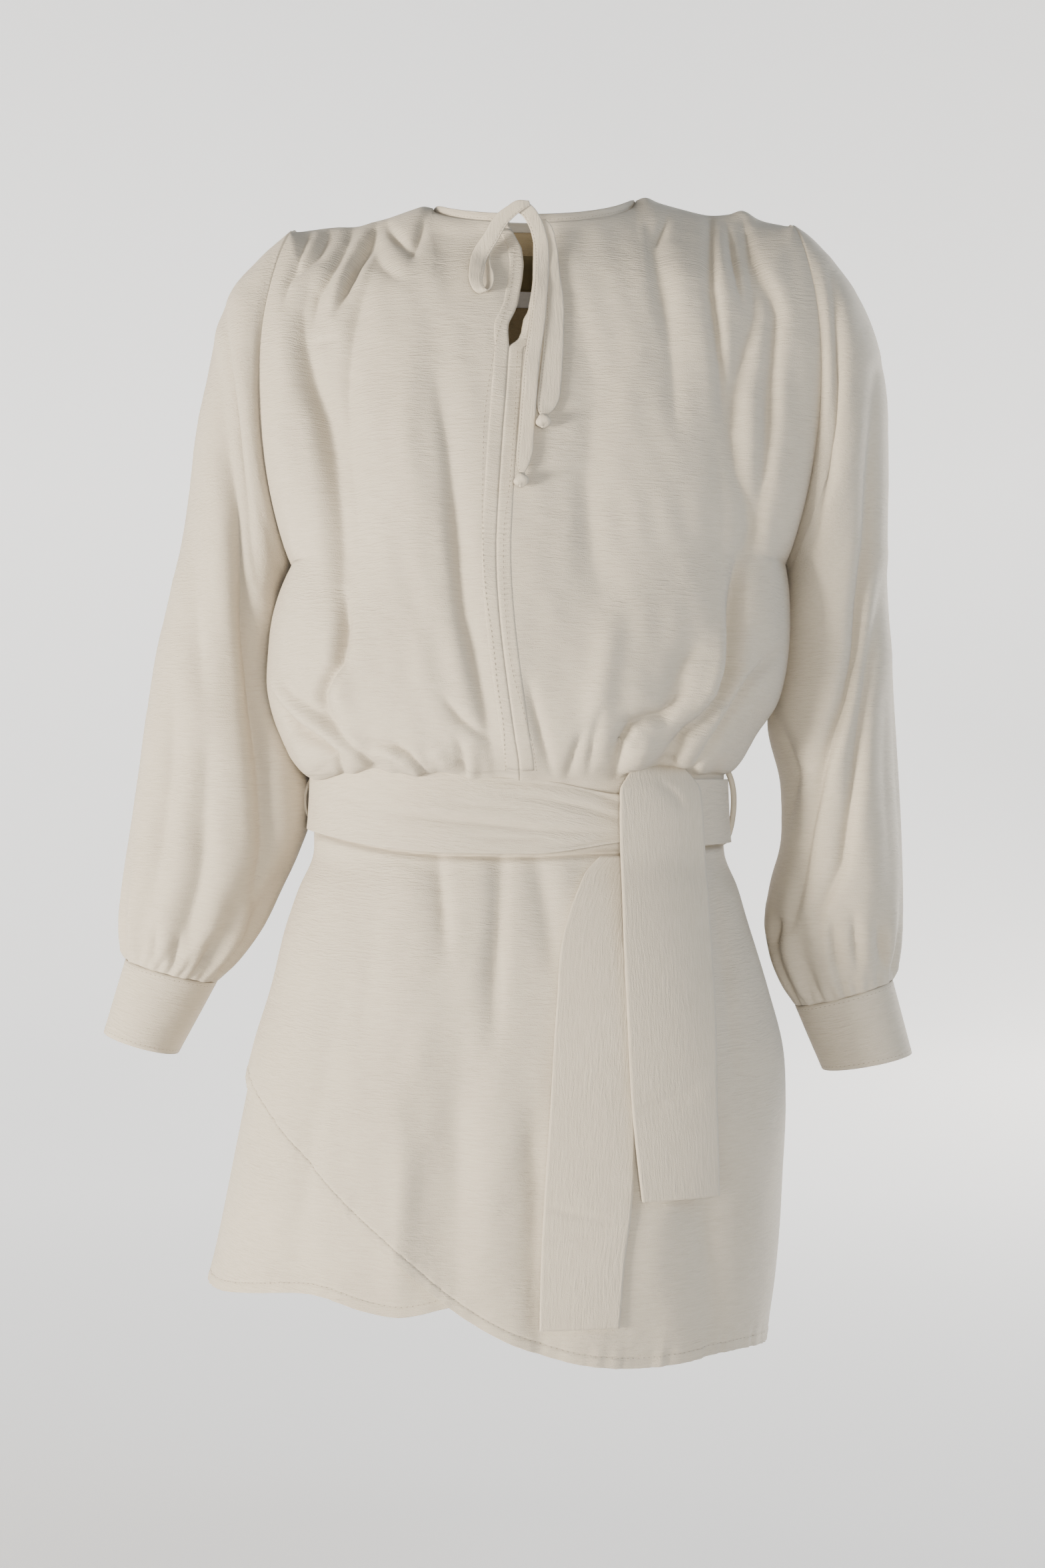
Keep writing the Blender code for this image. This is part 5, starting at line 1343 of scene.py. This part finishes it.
def make_bodice(finish, inside):
    """The two fronts and the back, whose inside faces take a finish painted as shade."""
    rows = np.concatenate([TOP_SHARE * np.linspace(0, 1, TOP_ROWS)[:-1] ** 1.6,
                           np.linspace(TOP_SHARE, CURL_START, BODY_ROWS),
                           CURL_START + CURL_SHARE * np.linspace(0, 1, CURL_ROWS)[1:]])
    grids = {}
    for side in SIDES:
        inner = CENTRE["fold"][1] + CENTRE[side][1]
        neck_share = (SHOULDER[side]["x"][0] - inner) / (SHOULDER[side]["x"][-1] - inner)
        neck = np.linspace(0, neck_share, NECK_COLUMNS)[:-1]
        rest = spread(neck_share, 1, SHOULDER_COLUMNS, ends=0.5)
        a, s = np.meshgrid(np.concatenate([neck, rest]), rows)
        a[:, 0] = HALF_SEAM / abs(SHOULDER[side]["x"][-1])
        base = bodice(side, True)(a, s)
        grid = bodice_points(side, True, a, s)
        grids[side] = grid
        if side == "left":
            closed_part = ease(-grid[:, :1, 2:], *SLIT_END)
            under = np.array([-UNDERLAP, WALL * 1.2, 0]) * closed_part + np.array([-0.02 * MM, WALL * 0.3, 0])
            grid = np.concatenate([grid[:, :1] + under, grid], axis=1)
            base = np.concatenate([base[:, :1] - (UNDERLAP, 0, 0), base], axis=1)
        cloth("bodice_front_%s_cloth" % side, grid, base, finish, "bodice_front_" + side, WALL,
              flip=side == "right", middle=0)
    halves = []
    bases = []
    for side in SIDES:
        neck_share = abs(SHOULDER[side]["x"][0] / SHOULDER[side]["x"][-1])
        neck = np.linspace(0, neck_share, NECK_COLUMNS - 6)[:-1]
        rest = spread(neck_share, 1, SHOULDER_COLUMNS - 16, ends=0.5)
        a, s = np.meshgrid(np.concatenate([neck, rest]), rows)
        halves.append(bodice_points(side, False, a, s))
        bases.append(bodice(side, False)(a, s))
    grid = np.concatenate([halves[0][:, :0:-1], halves[1]], axis=1)
    base = np.concatenate([bases[0][:, :0:-1], bases[1]], axis=1)
    grids["back"] = grid
    # The inside faces of the back take the darker, browner finish, painted shade of the hollow seen through the slit
    cloth("bodice_back_cloth", grid, base, finish, "bodice_back", WALL, flip=True, inner=inside,
          middle=halves[0].shape[1] - 1)
    return grids


def make_plackets(finish):
    """The turned-back strips down both sides of the centre front."""
    for side in SIDES:
        rows = np.linspace(PLACKET_START_ROW, PLACKET_END_ROW, PLACKET_ROWS)
        surface = bodice(side, True)
        inner = HALF_SEAM * 1.5 / abs(SHOULDER[side]["x"][-1])
        step = 0.01
        wide = np.array([PLACKET_WIDTH / abs(surface(step, s)[0] - surface(0.0, s)[0]) * step for s in rows])
        share, s = np.meshgrid(np.linspace(0, 1, PLACKET_COLUMNS), rows)
        a = inner + share * wide[:, None]
        rise = PLACKET_SUNK + PLACKET_RISE * np.minimum(1, 9 * np.minimum(share, 1 - share))
        grid = bodice_points(side, True, a, s, out=rise)
        base = surface(a, s)
        cloth("placket_%s_cloth" % side, grid, base, finish, "placket_" + side, PLACKET_WALL,
              flip=side == "right")


def make_neckband(finish):
    """The narrow band that stands round the neck, rolled a little at its top."""
    start = math.asin((CENTRE["fold"][1] + CENTRE["left"][1] - NECK_X) / NECK_HALF_WIDTH)
    end = TURN + math.asin((CENTRE["fold"][1] + CENTRE["right"][1] - NECK_X) / NECK_HALF_WIDTH)
    turns = np.linspace(start, end, BAND_COLUMNS)
    rows = []
    for share in np.linspace(*BAND_REACH, BAND_ROWS):
        lean = 1 - (BAND_INSET + share * BAND_LEAN) / NECK_HALF_WIDTH
        belly = BAND_BELLY * math.sin(math.pi * min(max(share, 0), 1))
        x = NECK_X + NECK_HALF_WIDTH * np.sin(turns)
        front = np.cos(turns) > 0
        y_front, z_front = neckline(x, True)
        y_back, z_back = neckline(x, False)
        y = np.where(front, y_front, y_back)
        corner = np.exp(-((np.cos(turns) / BAND_CORNER) ** 2))
        z = (np.where(front, z_front, z_back) + BAND_LIFT + BAND_HEIGHT * share * (1 - BAND_LOWER * corner)
             - BAND_SUNK * corner)
        out = lean + belly / NECK_HALF_WIDTH
        rows.append(np.stack([NECK_X + (x - NECK_X) * out, y * out, z], axis=-1))
    grid = np.array(rows)
    cloth("neckband_cloth", grid, grid, finish, "neckband", BAND_WALL, flip=True)
    return grid


def make_sleeves(finish):
    """The full sleeves gathered into their cuffs."""
    grids = {}
    for side in SIDES:
        angles = around(SLEEVE_COLUMNS, math.pi)
        rows = np.concatenate([np.linspace(0, SLEEVE_LOW, SLEEVE_ROWS)[:-1],
                               np.linspace(SLEEVE_LOW, 1, SLEEVE_LOW_ROWS)])
        angle, s = np.meshgrid(angles, rows)
        base = sleeve_surface(side)(angle, s)
        grid = sleeve_points(side, angles, rows)
        whole = tucked(tucked(grid, "first"), "last")
        flat = np.concatenate([base[:1], base[:1], base, base[-1:], base[-1:]])
        cloth("sleeve_%s_cloth" % side, whole, flat, finish, "sleeve_" + side, WALL, closed=True,
              flip=side == "right", level=True)
        angle, s = np.meshgrid(around(CUFF_COLUMNS, math.pi), np.linspace(0, 1, CUFF_ROWS))
        row = {name: smooth(s, np.linspace(0, 1, 3), column) for name, column in CUFF[side].items()}
        cuff = ring(row, angle)
        cloth("cuff_%s_cloth" % side, cuff, cuff, finish, "cuff_" + side, CUFF_WALL, closed=True,
              flip=side == "right")
        grids[side] = grid
        grids["cuff_" + side] = cuff
    return grids


def make_skirt(finish):
    """The wrap skirt: the front that laps over, the one under it and the back, each with a turned hem."""
    grids = {}
    front = (SIDE_SEAM, math.pi - SIDE_SEAM)
    back = (math.pi + SIDE_SEAM, TURN - SIDE_SEAM)
    panels = (("skirt_overlap", front, 170, "overlap", SKIRT_FOLDS, overlap_shift, 150),
              ("skirt_underlay", front, 120, "underlay", SKIRT_FOLDS, underlay_shift, 110),
              ("skirt_back", back, 150, "back", SKIRT_BACK_FOLDS, no_shift, 120))
    for seed, (name, (low, high), columns, hem, folds, shift, count) in enumerate(panels):
        angles = np.linspace(low, high, columns)
        rows = np.concatenate([np.linspace(0, HIP_ROW, count // 2)[:-1],
                               np.linspace(HIP_ROW, HEM_ROW, count // 2)[:-1], np.linspace(HEM_ROW, 1, count // 4)])
        base = skirt_panel(angles, rows, HEM[hem], [], no_shift)
        plain = skirt_panel(angles, rows, HEM[hem], folds, shift)
        grid = skirt_panel(angles, rows, HEM[hem], folds, shift, hem_shape(plain, seed=seed))
        cloth(name + "_cloth", grid, base, finish, name, WALL, flip=True)
        grids[name] = grid
    return grids


def make_belt(finish, level_finish):
    """The belt round the waist, its two hanging ends and the narrow loops that carry it."""
    ring_points = skirt_ring(around(BELT_COLUMNS), np.full(BELT_COLUMNS, WAIST_Z))
    outwards = ring_normals(ring_points)
    ring_points = ring_points + BELT_OFFSET * outwards
    top = smooth(ring_points[:, 0], BELT_EDGE["x"], BELT_EDGE["top"])
    bottom = smooth(ring_points[:, 0], BELT_EDGE["x"], BELT_EDGE["bottom"])
    pulled = np.where(ring_points[:, 1] < 0, 1 - ease(ring_points[:, 0], *KNOT_PLACE), 0)
    top = top - BELT_DIP * pulled * ease(ring_points[:, 0], *DIP_FROM)
    bottom = bottom + BELT_RISE * pulled * ease(ring_points[:, 0], *RISE_FROM)
    rows = []
    for share in np.linspace(0, 1, BELT_ROWS):
        height = top + (bottom - top) * share
        flat = ring_points + (BELT_BELLY * math.sin(math.pi * share) + BELT_STAND * share**3) * outwards
        flat[:, 2] = height
        x, z = seen(flat)
        inwards = np.where(flat[:, 1] < 0, fold_depth(x, z, BELT_FOLDS),
                           fold_depth(flat[:, 0], height, BELT_BACK_FOLDS))
        rows.append(flat - outwards * inwards[:, None])
    grid = np.array(rows)
    cloth("belt_cloth", grid, grid, level_finish, "belt", BELT_WALL, closed=True, flip=True)
    for name, end, folds in (("belt_end_short", END_SHORT, END_SHORT_FOLDS),
                             ("belt_end_long", END_LONG, END_LONG_FOLDS)):
        heights = np.linspace(end["z"][0], end["z"][-1], END_ROWS)
        left, right, clear = [smooth(heights, end["z"], end[column]) for column in ("left", "right", "clear")]
        z = heights[:, None] + np.zeros(END_COLUMNS)
        x = left[:, None] + (right - left)[:, None] * np.linspace(0, 1, END_COLUMNS)
        y, steep = skirt_front_y(x, z)
        y = y - steep * clear[:, None]
        flat = np.stack([x, y, z], axis=-1)
        seen_x, seen_z = seen(flat)
        grid = flat + np.stack([0 * x, fold_depth(seen_x, seen_z, folds), 0 * x], axis=-1)
        cloth(name + "_cloth", grid, flat, finish, name, END_WALL)
    for side, sign in (("right", -1), ("left", 1)):
        outer = WAIST_X + sign * WAIST_HALF_WIDTH
        places = np.linspace(0, 1, LOOP_ROWS)
        path = LOOP_PATH[side]
        given = np.linspace(0, 1, len(path["out"]))
        out = smooth(places, given, path["out"])
        z = smooth(places, given, path["z"])
        line = np.stack([outer + sign * out, np.full(LOOP_ROWS, LOOP_Y), z], axis=-1)
        tube_piece("belt_loop_%s_cloth" % side, line, LOOP_HALF_WIDE, LOOP_HALF[side], finish, "belt_loop_" + side)


def tube_piece(name, line, half_wide, half_thick, finish, node):
    """A flattened cord along a line that runs in the plane across x, wide along y."""
    across = np.array([0.0, 1.0, 0.0])
    out = unit(np.cross(np.gradient(line, axis=0), across))
    grid = np.array([[point + across * half_wide * math.cos(turn) + away * half_thick * math.sin(turn)
                      for turn in around(TUBE_COLUMNS)] for point, away in zip(line, out)])
    closed_strip(name, grid, finish, node, across=(1, 1, 0), flip=True)


def make_tie(bodices, finish, shaded_thread):
    """The bow loop and the two tails of the neck tie, each a flat strip with a sewn edge, and their knots."""
    trees = [tree_of(bodices[side]) for side in SIDES]
    lines = []
    for name, places, count in (("tie_loop", TIE_LOOP, 160), ("tie_tail_long", TIE_TAIL_LONG, 160),
                                ("tie_tail_short", TIE_TAIL_SHORT, 120)):
        strip = ribbon_points(trees, places, count)
        left, middle, right = strip[:, 0], strip[:, 1], strip[:, 2]
        out = unit(np.cross(np.gradient(middle, axis=0), right - left))
        out = out * np.sign(-out[2, 1])
        sewn = -TIE_STITCH if name == "tie_loop" else TIE_STITCH

        def rounded(share):
            return TIE_HALF_WALL * math.sqrt(max(0, 1 - share**4))

        def dent(share):
            return TIE_DENT * math.exp(-((share - sewn) / DENT_WIDTH) ** 2)

        shares = np.linspace(-1, 1, RIBBON_COLUMNS)
        front = [middle + (right - left) / 2 * share + out * (rounded(share) - dent(share)) for share in shares]
        back = [middle + (right - left) / 2 * share - out * rounded(share) for share in shares[-2:0:-1]]
        grid = np.array(front + back).transpose(1, 0, 2)
        closed_strip(name + "_cloth", grid, finish, name)
        lines.append((middle + (right - left) / 2 * sewn + out * TIE_STITCH_OUT, out))
    # Stitches take the finish painted darker than their yarn, as the shade of their holes
    threads("tie_stitches", lines, shaded_thread, stitch=1.5 * MM, gap=1.0 * MM, thickness=0.35 * MM)
    for name, place, tail in (("tie_ball_long", BALL_LONG, TIE_TAIL_LONG),
                              ("tie_ball_short", BALL_SHORT, TIE_TAIL_SHORT)):
        end = (on_bodice(trees, tail[-1][0]) + on_bodice(trees, tail[-1][1])) / 2
        knot(name, on_bodice(trees, place), end, finish)


def closed_strip(name, grid, finish, node, across=(1, 0, 0), flip=False):
    """A solid strip from closed rings of points, with flat ends. Its uvs run along the direction across, and up."""
    number = numbered(grid.shape)
    corners = (HERE, BELOW, OPPOSITE, BESIDE) if flip else (HERE, BESIDE, OPPOSITE, BELOW)
    ends = (number[0], number[-1, ::-1]) if flip else (number[0, ::-1], number[-1])
    faces = quads(numbered(grid.shape, closed=True), corners).tolist() + [end.tolist() for end in ends]
    spots = grid.reshape(-1, 3)[np.concatenate(faces)]
    piece = mesh_piece(name, grid.reshape(-1, 3), faces, [finish], np.stack([spots @ across, spots[:, 2]], axis=-1))
    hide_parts(node)


def knot(node, centre, tail_end, finish):
    """A ball of cord tied at a tail's end: wound turns round a core, and a pinched neck up to the tail."""
    axis = unit(tail_end - centre)
    side = unit(np.cross(axis, (0, 1, 0)))
    front = np.cross(side, axis)
    turns = around(BALL_COLUMNS)
    grid = []
    for polar in np.linspace(BALL_TIP, math.pi - BALL_TIP, BALL_ROWS):
        ring_points = []
        for turn in turns:
            wound = math.cos(3 * polar + 2 * turn)
            crossed = math.sin(3 * polar - turn + 0.6)
            radius = BALL_RADIUS * (0.93 + 0.07 * wound + 0.05 * crossed)
            away = side * math.cos(turn) + front * math.sin(turn)
            ring_points.append(centre + (axis * math.cos(polar) * BALL_FLAT + away * math.sin(polar)) * radius)
        grid.append(ring_points)
    start = centre + axis * BALL_RADIUS * NECK_START
    neck = [[start + (tail_end - start) * share
             + side * wide * MM * math.cos(turn) + front * thick * MM * math.sin(turn) for turn in turns]
            for share, wide, thick in BALL_NECK]
    closed_strip(node + "_cloth", np.array(grid), finish, node)
    closed_strip(node + "_neck", np.array(neck)[::-1], finish, node)


def make_labels(back, olive, white):
    """Two bare labels sewn inside the back of the neck."""
    tree = tree_of(back)
    for name, (left, right, bottom, top), finish, slot in (
            ("neck_label", LABEL, olive, "olive_label"), ("size_tag", TAG, white, "white_tag")):
        xs, zs = np.meshgrid(np.linspace(left, right, LABEL_COLUMNS), np.linspace(top, bottom, LABEL_ROWS))
        backwards = Vector((0, 1, 0))
        depth = np.array([[tree.ray_cast(Vector((x, 0, z)), backwards)[0].y for x, z in zip(*row)]
                          for row in zip(xs, zs)])
        grid = np.stack([xs, depth - LABEL_CLEAR, zs], axis=-1)
        piece = cloth(name + "_weave", grid, grid, finish, name, LABEL_WALL)


def make_stitches(bodices, skirts, sleeves, neck, shaded_thread):
    """Every row of stitches that shows, and the same rows on the hidden sides."""
    # Their finish is painted darker than the yarn, as the shade of the stitch holes
    right = tree_of(bodices["right"])
    left = tree_of(bodices["left"])
    lines = [laid_on(right, STITCH_RIGHT, 1.5 * MM), laid_on(left, STITCH_LEFT, 1.9 * MM)]
    threads("stitches_front", lines, shaded_thread)
    rows = [along_edge(grid, HEM_WIDTH, STITCH_OFF) for grid in skirts.values()]
    threads("stitches_hem", rows, shaded_thread, stitch=2.2 * MM, gap=1.6 * MM)
    rows = []
    for side in SIDES:
        for distance, last in zip(CUFF_STITCHES, (True, False)):
            rows.append(along_edge(sleeves["cuff_" + side], distance, CUFF_STITCH_OFF, closed=True, last=last))
    threads("stitches_cuffs", rows, shaded_thread, stitch=2.0 * MM, gap=1.5 * MM, thickness=0.4 * MM)
    threads("stitches_neckband", [along_edge(neck, NECK_STITCH, STITCH_OFF)], shaded_thread, stitch=1.7 * MM, gap=1.2 * MM,
            thickness=0.35 * MM)


# Camera, light and floor


def make_stage():
    """A pale floor that turns up into a wall all round, dim before the dress, with four soft lamps and a cool sky."""
    nodes = Nodes("studio_paper")
    nodes.shader.inputs["Roughness"].default_value = 0.9
    place = nodes.add("ShaderNodeTexCoord").outputs["Object"]
    grain = nodes.noise(place, scale=3.0, detail=1.0)
    pale = nodes.mix(grain, (0.90, 0.90, 0.90, 1), (0.92, 0.92, 0.92, 1))
    split = nodes.add("ShaderNodeSeparateXYZ", {0: place})
    ahead = nodes.add("ShaderNodeMapRange", {"Value": split.outputs[1], "From Min": DIM_FROM,
                                             "From Max": DIM_TO}).outputs[0]
    above = nodes.add("ShaderNodeMapRange", {"Value": split.outputs[2], "From Min": FLOOR_Z,
                                             "From Max": FLOOR_Z + DIM_HEIGHT}).outputs[0]
    dim = nodes.math("MULTIPLY", ahead, nodes.math("ADD", nodes.math("MULTIPLY", above, 1 - DIM_FLOOR), DIM_FLOOR))
    nodes.tree.links.new(nodes.mix(dim, pale, (DIM_WALL, DIM_WALL, DIM_WALL, 1)), nodes.shader.inputs["Base Color"])
    nodes.shader.inputs["Emission Color"].default_value = (1, 1, 1, 1)
    glow = nodes.add("ShaderNodeMapRange", {"Value": dim, "To Min": GLOW, "To Max": DIM_GLOW}).outputs[0]
    nodes.tree.links.new(glow, nodes.shader.inputs["Emission Strength"])
    profile = [(STAGE_RADIUS / 3, FLOOR_Z), (STAGE_RADIUS - STAGE_ROUND, FLOOR_Z)]
    for turn in np.linspace(0, math.pi / 2, STAGE_STEPS)[1:]:
        profile.append((STAGE_RADIUS - STAGE_ROUND * (1 - math.sin(turn)),
                        FLOOR_Z + STAGE_ROUND * (1 - math.cos(turn))))
    profile.append((STAGE_RADIUS, STAGE_HEIGHT))
    points = [(reach * math.cos(turn), reach * math.sin(turn), z) for reach, z in profile
              for turn in around(STAGE_SIDES)]
    points.append((0, 0, FLOOR_Z))
    after = [(j + 1) % STAGE_SIDES for j in range(STAGE_SIDES)]
    faces = [(low + j, low + after[j], low + STAGE_SIDES + after[j], low + STAGE_SIDES + j)
             for low in range(0, (len(profile) - 1) * STAGE_SIDES, STAGE_SIDES) for j in range(STAGE_SIDES)]
    faces += [(len(points) - 1, after[j], j) for j in range(STAGE_SIDES)]
    mesh_object("floor", points, faces, [nodes.material])
    world = bpy.data.worlds.new("sky")
    bpy.context.scene.world = world
    world.use_nodes = True
    world.node_tree.nodes["Background"].inputs[0].default_value = SKY
    world.node_tree.nodes["Background"].inputs[1].default_value = SKY_STRENGTH
    for name, place, size, power, colour in LIGHTS:
        lamp = bpy.data.lights.new(name, "AREA")
        lamp.shape = "SQUARE"
        lamp.size = size
        lamp.energy = power
        lamp.color = colour
        light = placed(name, lamp)
        light.location = place
        light.visible_camera = False
        light.rotation_euler = (Vector(LIGHTS_AIM) - Vector(place)).to_track_quat("-Z", "Y").to_euler()


def make_camera():
    camera = placed("camera", bpy.data.cameras.new("camera"))
    camera.location = (0, -EYE_DISTANCE, EYE_HEIGHT)
    camera.rotation_euler = (math.pi / 2, 0, 0)
    camera.data.sensor_width = SENSOR
    camera.data.lens = LENS
    camera.data.clip_start = CLIP_START
    bpy.context.scene.camera = camera


make_camera()
make_stage()
# The cloth, paler on its crinkles' tops as a painted highlight and in random mottled patches
CLOTH = cloth_finish("crinkle_cloth", *CLOTH_COLOURS)
CLOTH_LENGTHWISE = cloth_finish("crinkle_cloth_lengthwise", *CLOTH_COLOURS, LENGTHWISE_CRINKLE, lengthwise=True)
# The cloth darker and browner, painted as the deep shade inside the back
SHADED_INSIDE = cloth_finish("crinkle_cloth_shaded_inside", *SHADED_INSIDE_COLOURS)
# The stitches' finish, darker than their pale yarn as painted shade of the holes they sit in
SHADED_THREAD = plain_finish("shaded_thread", SHADED_THREAD_COLOUR)
OLIVE = plain_finish("olive_label", OLIVE_COLOUR)
WHITE = plain_finish("white_tag", WHITE_COLOUR)

BODICES = make_bodice(CLOTH, SHADED_INSIDE)
make_plackets(CLOTH)
NECK = make_neckband(CLOTH)
SLEEVES = make_sleeves(CLOTH)
SKIRTS = make_skirt(CLOTH)
make_belt(CLOTH_LENGTHWISE, CLOTH)
make_tie(BODICES, CLOTH_LENGTHWISE, SHADED_THREAD)
make_labels(BODICES["back"], OLIVE, WHITE)
make_stitches(BODICES, SKIRTS, SLEEVES, NECK, SHADED_THREAD)
